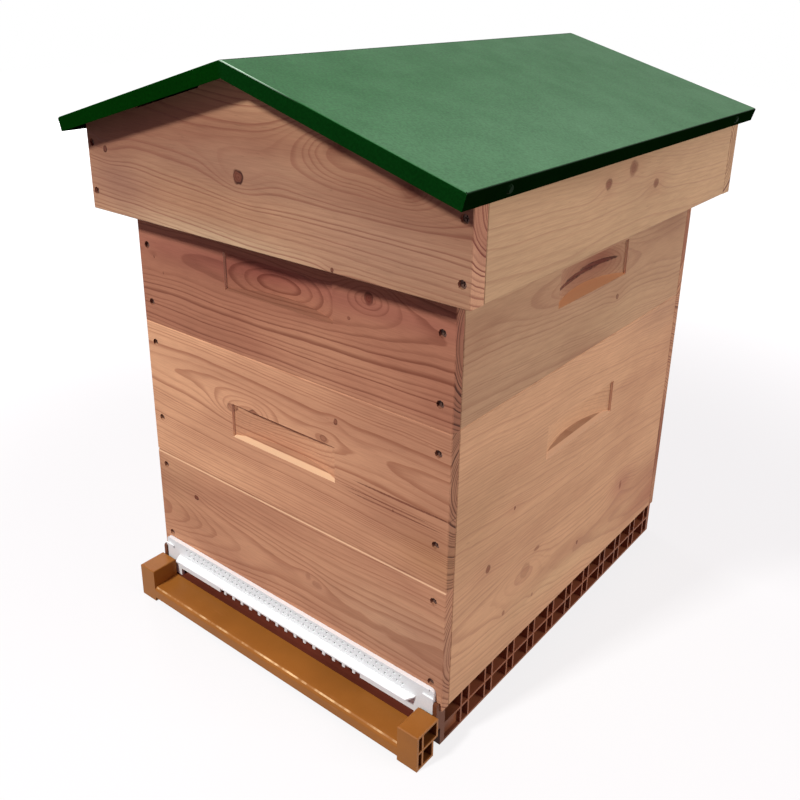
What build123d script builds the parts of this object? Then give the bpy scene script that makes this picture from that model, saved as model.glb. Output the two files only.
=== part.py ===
from build123d import *
import math
import os

# Ten-frame Dadant hive: ribbed plastic floor with a clip-on flight board, brood box of two
# boards in height, one super, crown board and a gabled roof under a folded metal sheet.
# Millimetres, +Z up, front towards -Y. The origin lies on the ground under the middle of the boxes.

# Wooden boxes
BODY_WIDTH = 430.0
BODY_DEPTH = 500.0
BOARD = 25.0
LAP = 12.0
BROOD_HEIGHT = 310.0
LOWER_BOARD = 143.0
SUPER_HEIGHT = 170.0
EDGE_EASE = 0.8
SEAM_BEVEL = 2.0
TONGUE = 7.0
TONGUE_HEIGHT = 6.0
TONGUE_CLEARANCE = 0.2

# Hand-holds cut into all four walls of both boxes
HOLD_WIDTH = 150.0
HOLD_HEIGHT = 40.0
HOLD_DEPTH = 14.0
HOLD_END = 3.0
HOLD_SILL_RISE = 5.0
HOLD_DROP = 62.0

# Plastic floor
FLOOR_HEIGHT = 45.0
FLOOR_INSET = 2.0
SKIN = 2.6
RAIL_WEB = 6.0
BAY = 44.0
NARROW_CELL = 11.0
DECK_HEIGHT = 25.0
SILL_DEPTH = 26.0
SILL_FALL = 4.0
SILL_CELLS = 8
REAR_BAR_DEPTH = 20.0
POST_RISE = 11.0
POST_GAP = 0.5
GRID_THICK = 3.0
GRID_GROOVE = 3.0
GRID_SLOT_WIDTH = 6.0
GRID_BAR = 18.0
GRID_MARGIN = 12.0
GRID_COLUMNS = 12
GRID_ROWS = 4
SLIDE_CLEARANCE = 0.3

# Inspection tray, drawn out at the rear
TRAY_BASE = 2.0
TRAY_RIM = 8.0
TRAY_WALL = 2.0
TRAY_SIDE_GAP = 2.0
RUNNER_TOP = 8.0
RUNNER_WIDTH = 7.0
RUNNER_THICK = 3.0
PULL_DEPTH = 12.0
PULL_LIP = 4.0
PULL_WIDTH = 120.0

# Flight board, clipped to the front of the floor
FLIGHT_REACH = 40.0
FLIGHT_BLOCK = 25.0
FLIGHT_BLOCK_DROP = 2.5
FLIGHT_OVERLAP = 3.0
FLIGHT_FALL = 1.0
FLIGHT_NOSE = 5.0
FLIGHT_ARCH = 5.0
FLIGHT_NARROW_CELL = 5.0
FLIGHT_NOTCH = 7.0
CLIP_WIDTH = 12.0
CLIP_BOTTOM = 10.0
CLIP_THICK = 6.0
CLIP_REACH = 11.0
CLIP_BARB = 2.0
CLIP_LEAD = 6.0

# Entrance reducer, a white moulding in front of the brood box
PLATE_INSET = 7.5
PLATE_THICK = 3.6
PLATE_LAP = 24.5
PLATE_CORNER = 5.0
PLATE_FOOT = 24.0
PLATE_RISE = 10.0
RIM_HEIGHT = 2.6
RIM_PROUD = 1.2
HOOD_INSET = 22.5
HOOD_LIFT = 5.5
HOOD_DROP = 0.6
HOOD_REACH = 10.5
HOOD_WALL = 1.6
HOOD_BEVEL = 6.0
TOOTH_COUNT = 15
TOOTH_PITCH = 14.6
TOOTH_WIDTH = 4.0
TOOTH_LENGTH = 6.0
COMB_MARGIN = 9.0
COMB_RISE = 6.4
VENT_HOLES = 44
VENT_MARGIN = 14.0
VENT_HOLE_WIDTH = 3.2
VENT_HOLE_HEIGHT = 2.5
VENT_ROW_DROP = 7.0
VENT_TOP_ROW = 5.8
PAD_WIDTH = 13.0
PAD_HEIGHT = 3.2
PAD_DROP = 9.0
PAD_PROUD = 1.6

# Frames with wax foundation
TOP_BAR_WIDTH = 25.0
TOP_BAR_HEIGHT = 18.0
LUG_HEIGHT = 10.0
SIDE_BAR = 9.0
SIDE_BAR_WIDTH = 24.0
BOTTOM_BAR_HEIGHT = 10.0
BOTTOM_BAR_WIDTH = 15.0
FOUNDATION = 1.6
BROOD_FRAMES = 10
SUPER_FRAMES = 9
FRAME_SIDE_GAP = 2.5
FRAME_END_GAP = 7.5
FRAME_UNDER = 3.0
TOP_SPACE = 7.0
REBATE_DEPTH = 12.0
REBATE_SPARE = 1.0
LUG_END_GAP = 2.0
STRIP_THICK = 1.0
STRIP_DEPTH = 16.0
STRIP_TOOTH = 7.0
STRIP_END_GAP = 1.0
NOTCH_CLEARANCE = 0.4

# Crown board
CROWN_PANEL = 8.0
CROWN_RIM_WIDTH = 20.0
CROWN_RIM_HEIGHT = 12.0

# Roof
ROOF_SIDE_GAP = 12.0
ROOF_END_GAP = 10.0
ROOF_BOARD = 20.0
ROOF_OVERLAP = 39.0
EAVE_REACH = 10.0
GABLE_REACH = 25.0
EAVE_RISE = 59.6
ROOF_RISE = 74.4
SHEET_THICK = 0.8
SHEET_FOLD = 15.0
VENT_START = 60.0
VENT_LENGTH = 96.0
VENT_DEPTH = 12.0
RIDGE_BATTEN_WIDTH = 28.0
RIDGE_BATTEN_HEIGHT = 24.0
RIDGE_RECESS = 6.0
BATTEN_CLEARANCE = 0.2
REST_BATTEN = 20.0

# Screws
SCREW_SIDES = 8
SCREW_SHANK = 4.4
SCREW_TIP = 1.1
SCREW_HEAD = 8.4
SCREW_HEAD_DEPTH = 2.6
SCREW_LENGTH = 50.0
SCREW_SUNK = 3.2
SCREW_CLEARANCE = 0.1
SCREW_INSET = 14.2
BROOD_SCREW_FOOT = 30.0
BROOD_SCREW_RIM = 24.0
SEAM_SCREW_BELOW = 16.5
SEAM_SCREW_ABOVE = 47.0
SUPER_SCREW_FOOT = 25.0
SUPER_SCREW_MIDDLE = 91.5
SUPER_SCREW_RIM = 20.0
ROOF_SCREW_FOOT = 20.0
ROOF_SCREW_STEP = 52.0
ROOF_SCREW_INSET = 8.0
SHEET_SCREW_HEAD = 9.0
SHEET_SCREW_CROWN = 6.0
SHEET_SCREW_HEAD_DEPTH = 1.8
SHEET_SCREW_LENGTH = 22.0
SHEET_SCREWS = 2
SHEET_SCREW_END = 35.0

# How far a cutter reaches past the face it opens, and the facets of a rounded plastic edge
OVERCUT = 1.0
ARC_STEPS = 4

# Values that follow from the sizes above
HALF_WIDTH = BODY_WIDTH / 2
HALF_DEPTH = BODY_DEPTH / 2
INNER_WIDTH = BODY_WIDTH - 2 * BOARD
INNER_DEPTH = BODY_DEPTH - 2 * BOARD
BROOD_TOP = FLOOR_HEIGHT + BROOD_HEIGHT
SUPER_TOP = BROOD_TOP + SUPER_HEIGHT
SEAM_HEIGHT = FLOOR_HEIGHT + LOWER_BOARD
FLOOR_SIDE = HALF_WIDTH - FLOOR_INSET
FLOOR_END = HALF_DEPTH - FLOOR_INSET
RAIL_INNER = INNER_WIDTH / 2
PLATE_WIDTH = BODY_WIDTH - 2 * PLATE_INSET
PLATE_TOP = FLOOR_HEIGHT + PLATE_LAP
HOOD_WIDTH = PLATE_WIDTH - 2 * HOOD_INSET
HOOD_ROOT = FLOOR_HEIGHT + HOOD_LIFT
VENT_PITCH = (HOOD_WIDTH - 2 * VENT_MARGIN) / VENT_HOLES
REDUCER_REAR = HALF_DEPTH + SLIDE_CLEARANCE
REDUCER_FRONT = REDUCER_REAR + PLATE_THICK + PAD_PROUD
FLIGHT_REAR = REDUCER_FRONT + 2 * SLIDE_CLEARANCE
FLIGHT_FRONT = HALF_DEPTH + FLIGHT_REACH
FLIGHT_BLOCK_HEIGHT = FLOOR_HEIGHT - FLIGHT_BLOCK_DROP
LANDING_HEIGHT = DECK_HEIGHT - SILL_FALL
PLATE_UNDER = LANDING_HEIGHT + PLATE_RISE
FRAME_LENGTH = INNER_DEPTH - 2 * FRAME_END_GAP
TOP_BAR_LENGTH = INNER_DEPTH + 2 * (REBATE_DEPTH - LUG_END_GAP)
BROOD_FRAME_HEIGHT = BROOD_HEIGHT - TOP_SPACE - FRAME_UNDER
SUPER_FRAME_HEIGHT = SUPER_HEIGHT - TOP_SPACE - FRAME_UNDER
REBATE_HEIGHT = TOP_SPACE + LUG_HEIGHT + REBATE_SPARE
CROWN_TOP = SUPER_TOP + CROWN_PANEL + CROWN_RIM_HEIGHT
ROOF_WIDTH = BODY_WIDTH + 2 * (ROOF_SIDE_GAP + ROOF_BOARD)
ROOF_DEPTH = BODY_DEPTH + 2 * (ROOF_END_GAP + ROOF_BOARD)
ROOF_BOTTOM = SUPER_TOP - ROOF_OVERLAP
SHEET_WIDTH = ROOF_WIDTH + 2 * EAVE_REACH
SHEET_DEPTH = ROOF_DEPTH + 2 * GABLE_REACH
EAVE_HEIGHT = SUPER_TOP + EAVE_RISE
RIDGE_HEIGHT = EAVE_HEIGHT + ROOF_RISE
ROOF_SLOPE = math.atan2(ROOF_RISE, SHEET_WIDTH / 2)
SHEET_DROP = SHEET_THICK / math.cos(ROOF_SLOPE)
SHEET_SCREW_PITCH = (ROOF_DEPTH - 2 * SHEET_SCREW_END) / (SHEET_SCREWS - 1)
BROOD_SCREWS = (BROOD_SCREW_FOOT, LOWER_BOARD - SEAM_SCREW_BELOW, LOWER_BOARD + SEAM_SCREW_ABOVE,
                BROOD_HEIGHT - BROOD_SCREW_RIM)
SUPER_SCREWS = (SUPER_SCREW_FOOT, SUPER_SCREW_MIDDLE, SUPER_HEIGHT - SUPER_SCREW_RIM)
ROOF_SCREWS = (ROOF_SCREW_FOOT, ROOF_SCREW_FOOT + ROOF_SCREW_STEP)


def block(x0, x1, y0, y1, z0, z1):
    """Box between two corners."""
    low = Align.MIN
    return Pos(x0, y0, z0) * Box(x1 - x0, y1 - y0, z1 - z0, align=(low, low, low))


def prism_along_y(points, y0, y1):
    """Solid of an (x, z) outline between two depths."""
    outline = Polyline(*[(x, y0, z) for x, z in points], close=True)
    return extrude(make_face(outline), amount=y1 - y0, dir=(0, 1, 0))


def prism_along_x(points, x0, x1):
    """Solid of a (y, z) outline between two widths."""
    outline = Polyline(*[(x0, y, z) for y, z in points], close=True)
    return extrude(make_face(outline), amount=x1 - x0, dir=(1, 0, 0))


def prism_along_z(points, z0, z1):
    """Solid of an (x, y) outline between two heights."""
    outline = Polyline(*[(x, y, z0) for x, y in points], close=True)
    return extrude(make_face(outline), amount=z1 - z0, dir=(0, 0, 1))


def arc_points(centre, radius, start, turn):
    """Points along a circle's arc, for an edge rounded in flat steps."""
    angles = [math.radians(start + turn * i / ARC_STEPS) for i in range(ARC_STEPS + 1)]
    return [(centre[0] + radius * math.cos(a), centre[1] + radius * math.sin(a)) for a in angles]


def mirror_x(shape):
    """The same shape on the other side of the hive."""
    return mirror(shape, about=Plane.YZ)


def half_turn(shape):
    """The same shape turned to the rear of the hive."""
    return Rot(0, 0, 180) * shape


def save(node, *shapes):
    """Writes one sub-part, of one or several solids."""
    shape = shapes[0] if len(shapes) == 1 else Compound(children=list(shapes))
    export_step(shape, f"parts/{node}.step")


def hand_hold(top):
    """Scoop in the front wall: a round cut, shallow at its ends, between a flat top and a sloping sill."""
    base = top - HOLD_HEIGHT
    face = -HALF_DEPTH
    back = face + HOLD_DEPTH
    outside = face - OVERCUT
    half = HOLD_WIDTH / 2
    outline = [(outside, base), (face, base), (back, base + HOLD_SILL_RISE), (back, top), (outside, top)]
    bow = HOLD_DEPTH - HOLD_END
    radius = (half**2 + bow**2) / (2 * bow)
    cutter = Pos(0, back - radius, base) * Cylinder(radius, 2 * HOLD_HEIGHT)
    return prism_along_x(outline, -half, half) & cutter


def side_hand_hold(top):
    """The same scoop in the right wall."""
    return Pos(HALF_WIDTH - HALF_DEPTH, 0, 0) * Rot(0, 0, 90) * hand_hold(top)


def faceted(stations):
    """Turned piece along +Y with flat facets, from its (y, radius) stations."""
    sections = [Plane.XZ.offset(-y) * RegularPolygon(radius, SCREW_SIDES) for y, radius in stations]
    return loft(sections, ruled=True)


def screw_at(x, z, face):
    """Countersunk screw driven in the +Y direction, its head just under the face."""
    top = face + SCREW_SUNK
    tip = top + SCREW_LENGTH
    shank = SCREW_SHANK / 2
    stations = [(top, SCREW_HEAD / 2), (top + SCREW_HEAD_DEPTH, shank), (tip - SCREW_SHANK, shank),
                (tip, SCREW_TIP / 2)]
    return Pos(x, 0, z) * faceted(stations)


def screw_hole(x, z, face):
    """Room for that screw: a bore with a countersink open to the face."""
    gap = SCREW_CLEARANCE
    shank = SCREW_SHANK / 2 + gap
    head = SCREW_HEAD / 2 + gap
    top = face + SCREW_SUNK
    stations = [(face - OVERCUT, head), (top, head), (top + SCREW_HEAD_DEPTH, shank),
                (top + SCREW_LENGTH + gap, shank)]
    return Pos(x, 0, z) * faceted(stations)


def corner_screws(heights, inset, half_width, face, maker):
    """Screws, or their holes, up both edges of a front board."""
    side = half_width - inset
    return [maker(x, z, face) for x in (-side, side) for z in heights]


def front_board(bottom, top, tongue_up=False, groove_down=False, rebate=False):
    """Front board, lapped over the side walls' ends, with the edges that its place needs."""
    face = -HALF_DEPTH
    inner = face + BOARD
    middle = face + BOARD / 2
    ease = EDGE_EASE
    lap = face + LAP
    right = [(HALF_WIDTH - ease, face), (HALF_WIDTH, face + ease), (HALF_WIDTH, lap - ease),
             (HALF_WIDTH - ease, lap), (RAIL_INNER, lap), (RAIL_INNER, inner)]
    left = [(-x, y) for x, y in reversed(right)]
    board = prism_along_z(right + left, bottom, top)
    board = chamfer(board.edges().filter_by(Axis.X).group_by(Axis.Y)[0], ease)
    if rebate:
        shelf = top - REBATE_HEIGHT
        board -= block(-RAIL_INNER, RAIL_INNER, inner - REBATE_DEPTH, inner + OVERCUT, shelf, top + OVERCUT)
    if tongue_up:
        board -= seam_bevel(top, -1)
        half = TONGUE / 2
        board += block(-RAIL_INNER, RAIL_INNER, middle - half, middle + half, top, top + TONGUE_HEIGHT)
    if groove_down:
        board -= seam_bevel(bottom, 1)
        half = TONGUE / 2 + TONGUE_CLEARANCE
        depth = TONGUE_HEIGHT + TONGUE_CLEARANCE
        length = RAIL_INNER + TONGUE_CLEARANCE
        board -= block(-length, length, middle - half, middle + half, bottom - OVERCUT, bottom + depth)
    return board


def seam_bevel(seam, side):
    """Cutter for the bevel along one board's edge at the seam, above or below it."""
    reach = SEAM_BEVEL + OVERCUT
    outside = -HALF_DEPTH - OVERCUT
    past = seam - side * OVERCUT
    outline = [(outside, past), (outside + OVERCUT + reach, past), (outside, seam + side * reach)]
    return prism_along_x(outline, -HALF_WIDTH - OVERCUT, HALF_WIDTH + OVERCUT)


def side_board(bottom, top):
    """Right wall, held between the laps of the front and rear boards."""
    length = HALF_DEPTH - LAP
    ease = EDGE_EASE
    rear = [(RAIL_INNER, length), (HALF_WIDTH - ease, length), (HALF_WIDTH, length - ease)]
    front = [(x, -y) for x, y in reversed(rear)]
    board = prism_along_z(rear + front, bottom, top)
    return chamfer(board.edges().filter_by(Axis.Y).group_by(Axis.X)[-1], ease)


def cut_all(shape, cutters):
    """Takes a list of cutters from a shape."""
    for cutter in cutters:
        shape -= cutter
    return shape


def box_walls(name, bottom, top, screw_heights, seam=None):
    """Walls and screws of one hive box. A seam divides the front and the rear into two boards."""
    heights = [bottom + h for h in screw_heights]
    holes = corner_screws(heights, SCREW_INSET, HALF_WIDTH, -HALF_DEPTH, screw_hole)
    hold = hand_hold(top - HOLD_DROP)
    if seam is None:
        fronts = {"board": cut_all(front_board(bottom, top, rebate=True), [hold, *holes])}
    else:
        lower = front_board(bottom, seam, tongue_up=True)
        upper = front_board(seam, top, groove_down=True, rebate=True)
        fronts = {
            "lower_board": cut_all(lower, [h for h in holes if h.center().Z < seam]),
            "upper_board": cut_all(upper, [hold, *[h for h in holes if h.center().Z > seam]]),
        }
    for part, board in fronts.items():
        save(f"{name}_front_{part}", board)
        save(f"{name}_rear_{part}", half_turn(board))
    right_holes = [h for h in holes if h.center().X > 0]
    rear_holes = [half_turn(h) for h in holes if h.center().X < 0]
    wall = cut_all(side_board(bottom, top), [side_hand_hold(top - HOLD_DROP), *right_holes, *rear_holes])
    save(f"{name}_right_wall", wall)
    save(f"{name}_left_wall", mirror_x(wall))
    front_screws = corner_screws(heights, SCREW_INSET, HALF_WIDTH, -HALF_DEPTH, screw_at)
    save(f"{name}_screws", *front_screws, *[half_turn(s) for s in front_screws])


def row(count, pitch):
    """Places in a row, evenly about the middle."""
    return [(i - (count - 1) / 2) * pitch for i in range(count)]


def frame_places(count):
    """Middles of the frames across the box."""
    return row(count, (INNER_WIDTH - 2 * FRAME_SIDE_GAP) / count)


def top_bar(x, rim):
    """Top bar, thinner at the lugs that carry the frame."""
    top = rim - TOP_SPACE
    half = TOP_BAR_LENGTH / 2
    lug = FRAME_LENGTH / 2
    thin = top - LUG_HEIGHT
    deep = top - TOP_BAR_HEIGHT
    outline = [(-half, top), (half, top), (half, thin), (lug, thin), (lug, deep), (-lug, deep), (-lug, thin),
               (-half, thin)]
    return prism_along_x(outline, x - TOP_BAR_WIDTH / 2, x + TOP_BAR_WIDTH / 2)


def frames(name, rim, count, height):
    """Wooden frames with wax foundation, hung by their lugs from the notched strips."""
    deep = rim - TOP_SPACE - TOP_BAR_HEIGHT
    base = rim - TOP_SPACE - height
    end = FRAME_LENGTH / 2
    inside = end - SIDE_BAR
    places = frame_places(count)
    half_side = SIDE_BAR_WIDTH / 2
    half_low = BOTTOM_BAR_WIDTH / 2
    half_wax = FOUNDATION / 2
    low = base + BOTTOM_BAR_HEIGHT
    save(f"{name}_top_bars", *[top_bar(x, rim) for x in places])
    save(f"{name}_side_bars", *[block(x - half_side, x + half_side, *ends, base, deep)
                                for x in places for ends in ((-end, -inside), (inside, end))])
    save(f"{name}_bottom_bars", *[block(x - half_low, x + half_low, -inside, inside, base, low)
                                  for x in places])
    save(f"{name}_foundation", *[block(x - half_wax, x + half_wax, -inside, inside, low, deep)
                                 for x in places])


def spacer_strips(name, rim, count):
    """Notched steel strips on the inner faces of the front and rear walls, one notch for each lug."""
    seat = rim - TOP_SPACE - LUG_HEIGHT
    face = -INNER_DEPTH / 2
    end = RAIL_INNER - STRIP_END_GAP
    strip = block(-end, end, face, face + STRIP_THICK, seat - STRIP_DEPTH, seat + STRIP_TOOTH)
    half = TOP_BAR_WIDTH / 2 + NOTCH_CLEARANCE
    for x in frame_places(count):
        strip -= block(x - half, x + half, face - OVERCUT, face + STRIP_THICK + OVERCUT, seat,
                       seat + STRIP_TOOTH + OVERCUT)
    save(f"{name}_spacer_strips", strip, half_turn(strip))


def cell_spans():
    """Spans along a side rail of its open cells: a wide one and a narrow one in each bay."""
    bays = int((2 * FLOOR_END - SKIN) // BAY)
    start = -(bays * BAY + SKIN) / 2 + SKIN
    wide = BAY - NARROW_CELL - 2 * SKIN
    spans = []
    for i in range(bays):
        low = start + i * BAY
        spans.append((low, low + wide))
        spans.append((low + wide + SKIN, low + BAY - SKIN))
    return spans


def clip_pocket():
    """Pocket in the front end of the right rail for the flight board's clip."""
    gap = SLIDE_CLEARANCE
    x = (RAIL_INNER + FLOOR_SIDE) / 2
    half = CLIP_WIDTH / 2 + gap
    y0 = -FLOOR_END
    return block(x - half, x + half, y0 - OVERCUT, y0 + CLIP_REACH + gap, CLIP_BOTTOM - gap,
                 CLIP_BOTTOM + CLIP_THICK + CLIP_BARB + gap)


def floor_rail():
    """Right rail: a web with two rows of open cells outside, a groove and a runner inside, and a post."""
    rail = block(RAIL_INNER, FLOOR_SIDE, -FLOOR_END, FLOOR_END, 0, FLOOR_HEIGHT)
    middle = FLOOR_HEIGHT / 2
    web = RAIL_INNER + RAIL_WEB
    pocket_end = -FLOOR_END + CLIP_REACH + SKIN + SLIDE_CLEARANCE
    for y0, y1 in cell_spans():
        for z0, z1 in ((SKIN, middle - SKIN / 2), (middle + SKIN / 2, FLOOR_HEIGHT - SKIN)):
            depth = web
            if y0 < pocket_end and z0 < middle:
                depth = (RAIL_INNER + FLOOR_SIDE + CLIP_WIDTH) / 2 + SLIDE_CLEARANCE + SKIN / 2
            rail -= block(depth, FLOOR_SIDE + OVERCUT, y0, y1, z0, z1)
    rail -= grid_groove()
    rail += block(RAIL_INNER - RUNNER_WIDTH, RAIL_INNER, SILL_DEPTH - FLOOR_END, FLOOR_END - REAR_BAR_DEPTH,
                  RUNNER_TOP - RUNNER_THICK, RUNNER_TOP)
    return rail - clip_pocket() + reducer_post()


def reducer_post():
    """Round-topped post on the right rail's front end, beside the entrance reducer."""
    front = -REDUCER_FRONT
    rear = -REDUCER_REAR
    radius = (rear - front) / 2
    top = FLOOR_HEIGHT + POST_RISE
    low = FLOOR_HEIGHT / 2
    crown = arc_points((front + radius, top - radius), radius, 0, 180)
    outline = [(front, low), (-FLOOR_END, low), (-FLOOR_END, FLOOR_HEIGHT), (rear, FLOOR_HEIGHT), *crown]
    return prism_along_x(outline, PLATE_WIDTH / 2 + POST_GAP, FLOOR_SIDE)


def grid_groove():
    """Groove in the right rail that holds the ventilation grid."""
    gap = SLIDE_CLEARANCE
    front = SILL_DEPTH - FLOOR_END - GRID_GROOVE - gap
    return block(RAIL_INNER - OVERCUT, RAIL_INNER + GRID_GROOVE + gap, front, FLOOR_END - REAR_BAR_DEPTH,
                 DECK_HEIGHT - GRID_THICK - gap, DECK_HEIGHT)


def front_sill():
    """Front sill: the entrance deck, falling to where the reducer stands, and lapped by the grid."""
    front = -REDUCER_FRONT
    rear = SILL_DEPTH - FLOOR_END
    lap = DECK_HEIGHT - GRID_THICK - SLIDE_CLEARANCE
    outline = [(front, 0), (front, LANDING_HEIGHT), (-REDUCER_REAR, LANDING_HEIGHT),
               (rear - GRID_GROOVE, DECK_HEIGHT), (rear - GRID_GROOVE, lap), (rear, lap), (rear, 0)]
    sill = prism_along_x(outline, -RAIL_INNER, RAIL_INNER)
    hollow = (front + SKIN, rear - SKIN, -OVERCUT, LANDING_HEIGHT - 2 * SKIN)
    pitch = 2 * RAIL_INNER / SILL_CELLS
    half = pitch / 2 - SKIN
    return cut_all(sill, [block(x - half, x + half, *hollow) for x in row(SILL_CELLS, pitch)])


def rear_bar():
    """Rear bar under the rear wall, with the slot that the inspection tray passes through."""
    gap = TRAY_SIDE_GAP - SLIDE_CLEARANCE
    bar = block(-RAIL_INNER, RAIL_INNER, FLOOR_END - REAR_BAR_DEPTH, FLOOR_END, 0, FLOOR_HEIGHT)
    front = FLOOR_END - REAR_BAR_DEPTH - OVERCUT
    slot = block(-RAIL_INNER + gap, RAIL_INNER - gap, front, FLOOR_END + OVERCUT,
                 RUNNER_TOP - SLIDE_CLEARANCE, RUNNER_TOP + TRAY_RIM + 2 * SLIDE_CLEARANCE)
    return bar - slot


def ventilation_grid():
    """Slotted panel between the rails, under the frames."""
    front = SILL_DEPTH - FLOOR_END - GRID_GROOVE
    rear = FLOOR_END - REAR_BAR_DEPTH
    half = RAIL_INNER + GRID_GROOVE
    low, high = DECK_HEIGHT - GRID_THICK, DECK_HEIGHT
    panel = block(-half, half, front, rear, low, high)
    pitch_x = (INNER_WIDTH - 2 * GRID_MARGIN) / GRID_COLUMNS
    pitch_y = (rear - front - 2 * GRID_MARGIN) / GRID_ROWS
    wide = GRID_SLOT_WIDTH / 2
    long = (pitch_y - GRID_BAR) / 2
    middle = (front + rear) / 2
    places = [(x, middle + y) for x in row(GRID_COLUMNS, pitch_x) for y in row(GRID_ROWS, pitch_y)]
    return panel - [block(x - wide, x + wide, y - long, y + long, low - OVERCUT, high + OVERCUT)
                    for x, y in places]


def inspection_tray():
    """Shallow tray on the rails' runners: a base sheet, four rim strips on it and a pull at the rear."""
    half = RAIL_INNER - TRAY_SIDE_GAP
    front = SILL_DEPTH - FLOOR_END + TRAY_SIDE_GAP
    bottom = RUNNER_TOP
    sheet = bottom + TRAY_BASE
    top = bottom + TRAY_RIM
    wall = TRAY_WALL
    save("tray_base", block(-half, half, front, FLOOR_END, bottom, sheet))
    ends = [block(-half, half, y, y + wall, sheet, top) for y in (front, FLOOR_END - wall)]
    side = block(half - wall, half, front + wall, FLOOR_END - wall, sheet, top)
    save("tray_rim", *ends, side, mirror_x(side))
    end = FLOOR_END + PULL_DEPTH
    lip = top + PULL_LIP
    pull = [(FLOOR_END, bottom), (end, bottom), (end, lip), (end - wall, lip), (end - wall, sheet),
            (FLOOR_END, sheet)]
    save("tray_pull", prism_along_x(pull, -PULL_WIDTH / 2, PULL_WIDTH / 2))


def flight_board():
    """Flight board: a deck falling to a rounded nose between two ribbed end blocks, with clips."""
    outer = HALF_WIDTH + FLIGHT_OVERLAP - FLOOR_INSET
    inner = outer - FLIGHT_BLOCK
    deck = prism_along_x(deck_outline(0), -inner, inner)
    deck -= prism_along_x(deck_outline(SKIN), -inner, inner)
    end = flight_end(inner, outer) + flight_clip()
    return deck + end + mirror_x(end)


def deck_outline(inset):
    """Side view of the deck and its front fascia, or of the hollow under them at an inset."""
    front = inset - FLIGHT_FRONT
    rear = -FLIGHT_REAR - inset
    radius = FLIGHT_NOSE - inset
    top = LANDING_HEIGHT - inset
    low = FLIGHT_ARCH if inset == 0 else -OVERCUT
    nose = arc_points((front + radius, top - FLIGHT_FALL - radius), radius, 90, 90)
    return [(front, low), (rear, low), (rear, top), *nose]


def flight_end(inner, outer):
    """Right end block: a shell with two rows of cells open to the outside, cut short below for the clip."""
    front = -FLIGHT_FRONT
    rear = -FLIGHT_REAR
    height = FLIGHT_BLOCK_HEIGHT
    middle = height / 2
    shelf = middle - SKIN / 2
    narrow = front + SKIN + FLIGHT_NARROW_CELL
    end = block(inner, outer, front, rear, 0, height)
    end = chamfer(end.edges().group_by(Axis.Z)[-1], EDGE_EASE)
    end -= block(inner - OVERCUT, outer + OVERCUT, rear - FLIGHT_NOTCH, rear + OVERCUT, -OVERCUT, shelf)
    for z0, z1, back in ((SKIN, shelf, rear - FLIGHT_NOTCH), (middle + SKIN / 2, height - SKIN, rear)):
        for y0, y1 in ((front + SKIN, narrow), (narrow + SKIN, back - SKIN)):
            end -= block(inner + SKIN, outer + OVERCUT, y0, y1, z0, z1)
    return end


def flight_clip():
    """Barbed tongue from the right end block into the floor rail's pocket."""
    x = (RAIL_INNER + FLOOR_SIDE) / 2
    root = -FLIGHT_REAR - FLIGHT_NOTCH - SKIN
    tip = -FLOOR_END + CLIP_REACH
    top = CLIP_BOTTOM + CLIP_THICK
    barb = tip - CLIP_LEAD
    outline = [(root, CLIP_BOTTOM), (tip, CLIP_BOTTOM), (tip, top), (barb, top + CLIP_BARB), (barb, top),
               (root, top)]
    return prism_along_x(outline, x - CLIP_WIDTH / 2, x + CLIP_WIDTH / 2)


def entrance_reducer():
    """White reducer: a vented, rimmed plate with end feet, a comb over the entrance and a short hood."""
    rear = -REDUCER_REAR
    face = rear - PLATE_THICK
    half = PLATE_WIDTH / 2
    inner = HOOD_WIDTH / 2
    foot = LANDING_HEIGHT + SLIDE_CLEARANCE
    comb = TOOTH_PITCH * (TOOTH_COUNT - 1) / 2 + COMB_MARGIN
    comb_top = PLATE_UNDER + COMB_RISE
    right = [(half, PLATE_TOP), (half, foot), (half - PLATE_FOOT, foot), (half - PLATE_FOOT, PLATE_UNDER),
             (comb, PLATE_UNDER), (comb, comb_top)]
    left = [(-x, z) for x, z in reversed(right)]
    plate = prism_along_y(right + left, face, rear)
    corners = plate.edges().filter_by(Axis.Y).group_by(Axis.Z)[-1]
    plate = fillet(corners, PLATE_CORNER)
    plate -= vent_holes(face)
    rim = half - PLATE_CORNER
    plate += block(-rim, rim, face - RIM_PROUD, face, PLATE_TOP - RIM_HEIGHT, PLATE_TOP)
    for side in (-1, 1):
        x0, x1 = sorted((side * half, side * (half - PAD_WIDTH)))
        top = PLATE_TOP - PAD_DROP
        plate += block(x0, x1, face - PAD_PROUD, face, top - PAD_HEIGHT, top)
    tip = face - HOOD_REACH
    low = HOOD_ROOT - HOOD_DROP
    bottom = low - HOOD_WALL
    profile = [(face, HOOD_ROOT), (tip, low), (tip, bottom), (face, HOOD_ROOT - HOOD_WALL)]
    hood = prism_along_x(profile, -inner, inner)
    for side in (-1, 1):
        outside = side * (inner + OVERCUT)
        corner = [(outside, tip - OVERCUT), (side * (inner - HOOD_BEVEL), tip - OVERCUT), (outside, face)]
        hood -= prism_along_z(corner, bottom - OVERCUT, HOOD_ROOT + OVERCUT)
    half_tooth = TOOTH_WIDTH / 2
    teeth = [block(x - half_tooth, x + half_tooth, face, face + HOOD_WALL, comb_top - TOOTH_LENGTH, comb_top)
             for x in row(TOOTH_COUNT, TOOTH_PITCH)]
    return plate + hood + teeth


def vent_holes(face):
    """Two staggered rows of small holes above the hood."""
    wide = VENT_HOLE_WIDTH / 2
    high = VENT_HOLE_HEIGHT / 2
    stagger = VENT_PITCH / 4
    holes = []
    for drop, shift in ((0, -stagger), (VENT_ROW_DROP, stagger)):
        z = PLATE_TOP - VENT_TOP_ROW - drop
        holes += [block(x + shift - wide, x + shift + wide, face - OVERCUT, face + PLATE_THICK + OVERCUT,
                        z - high, z + high) for x in row(VENT_HOLES, VENT_PITCH)]
    return holes


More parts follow.
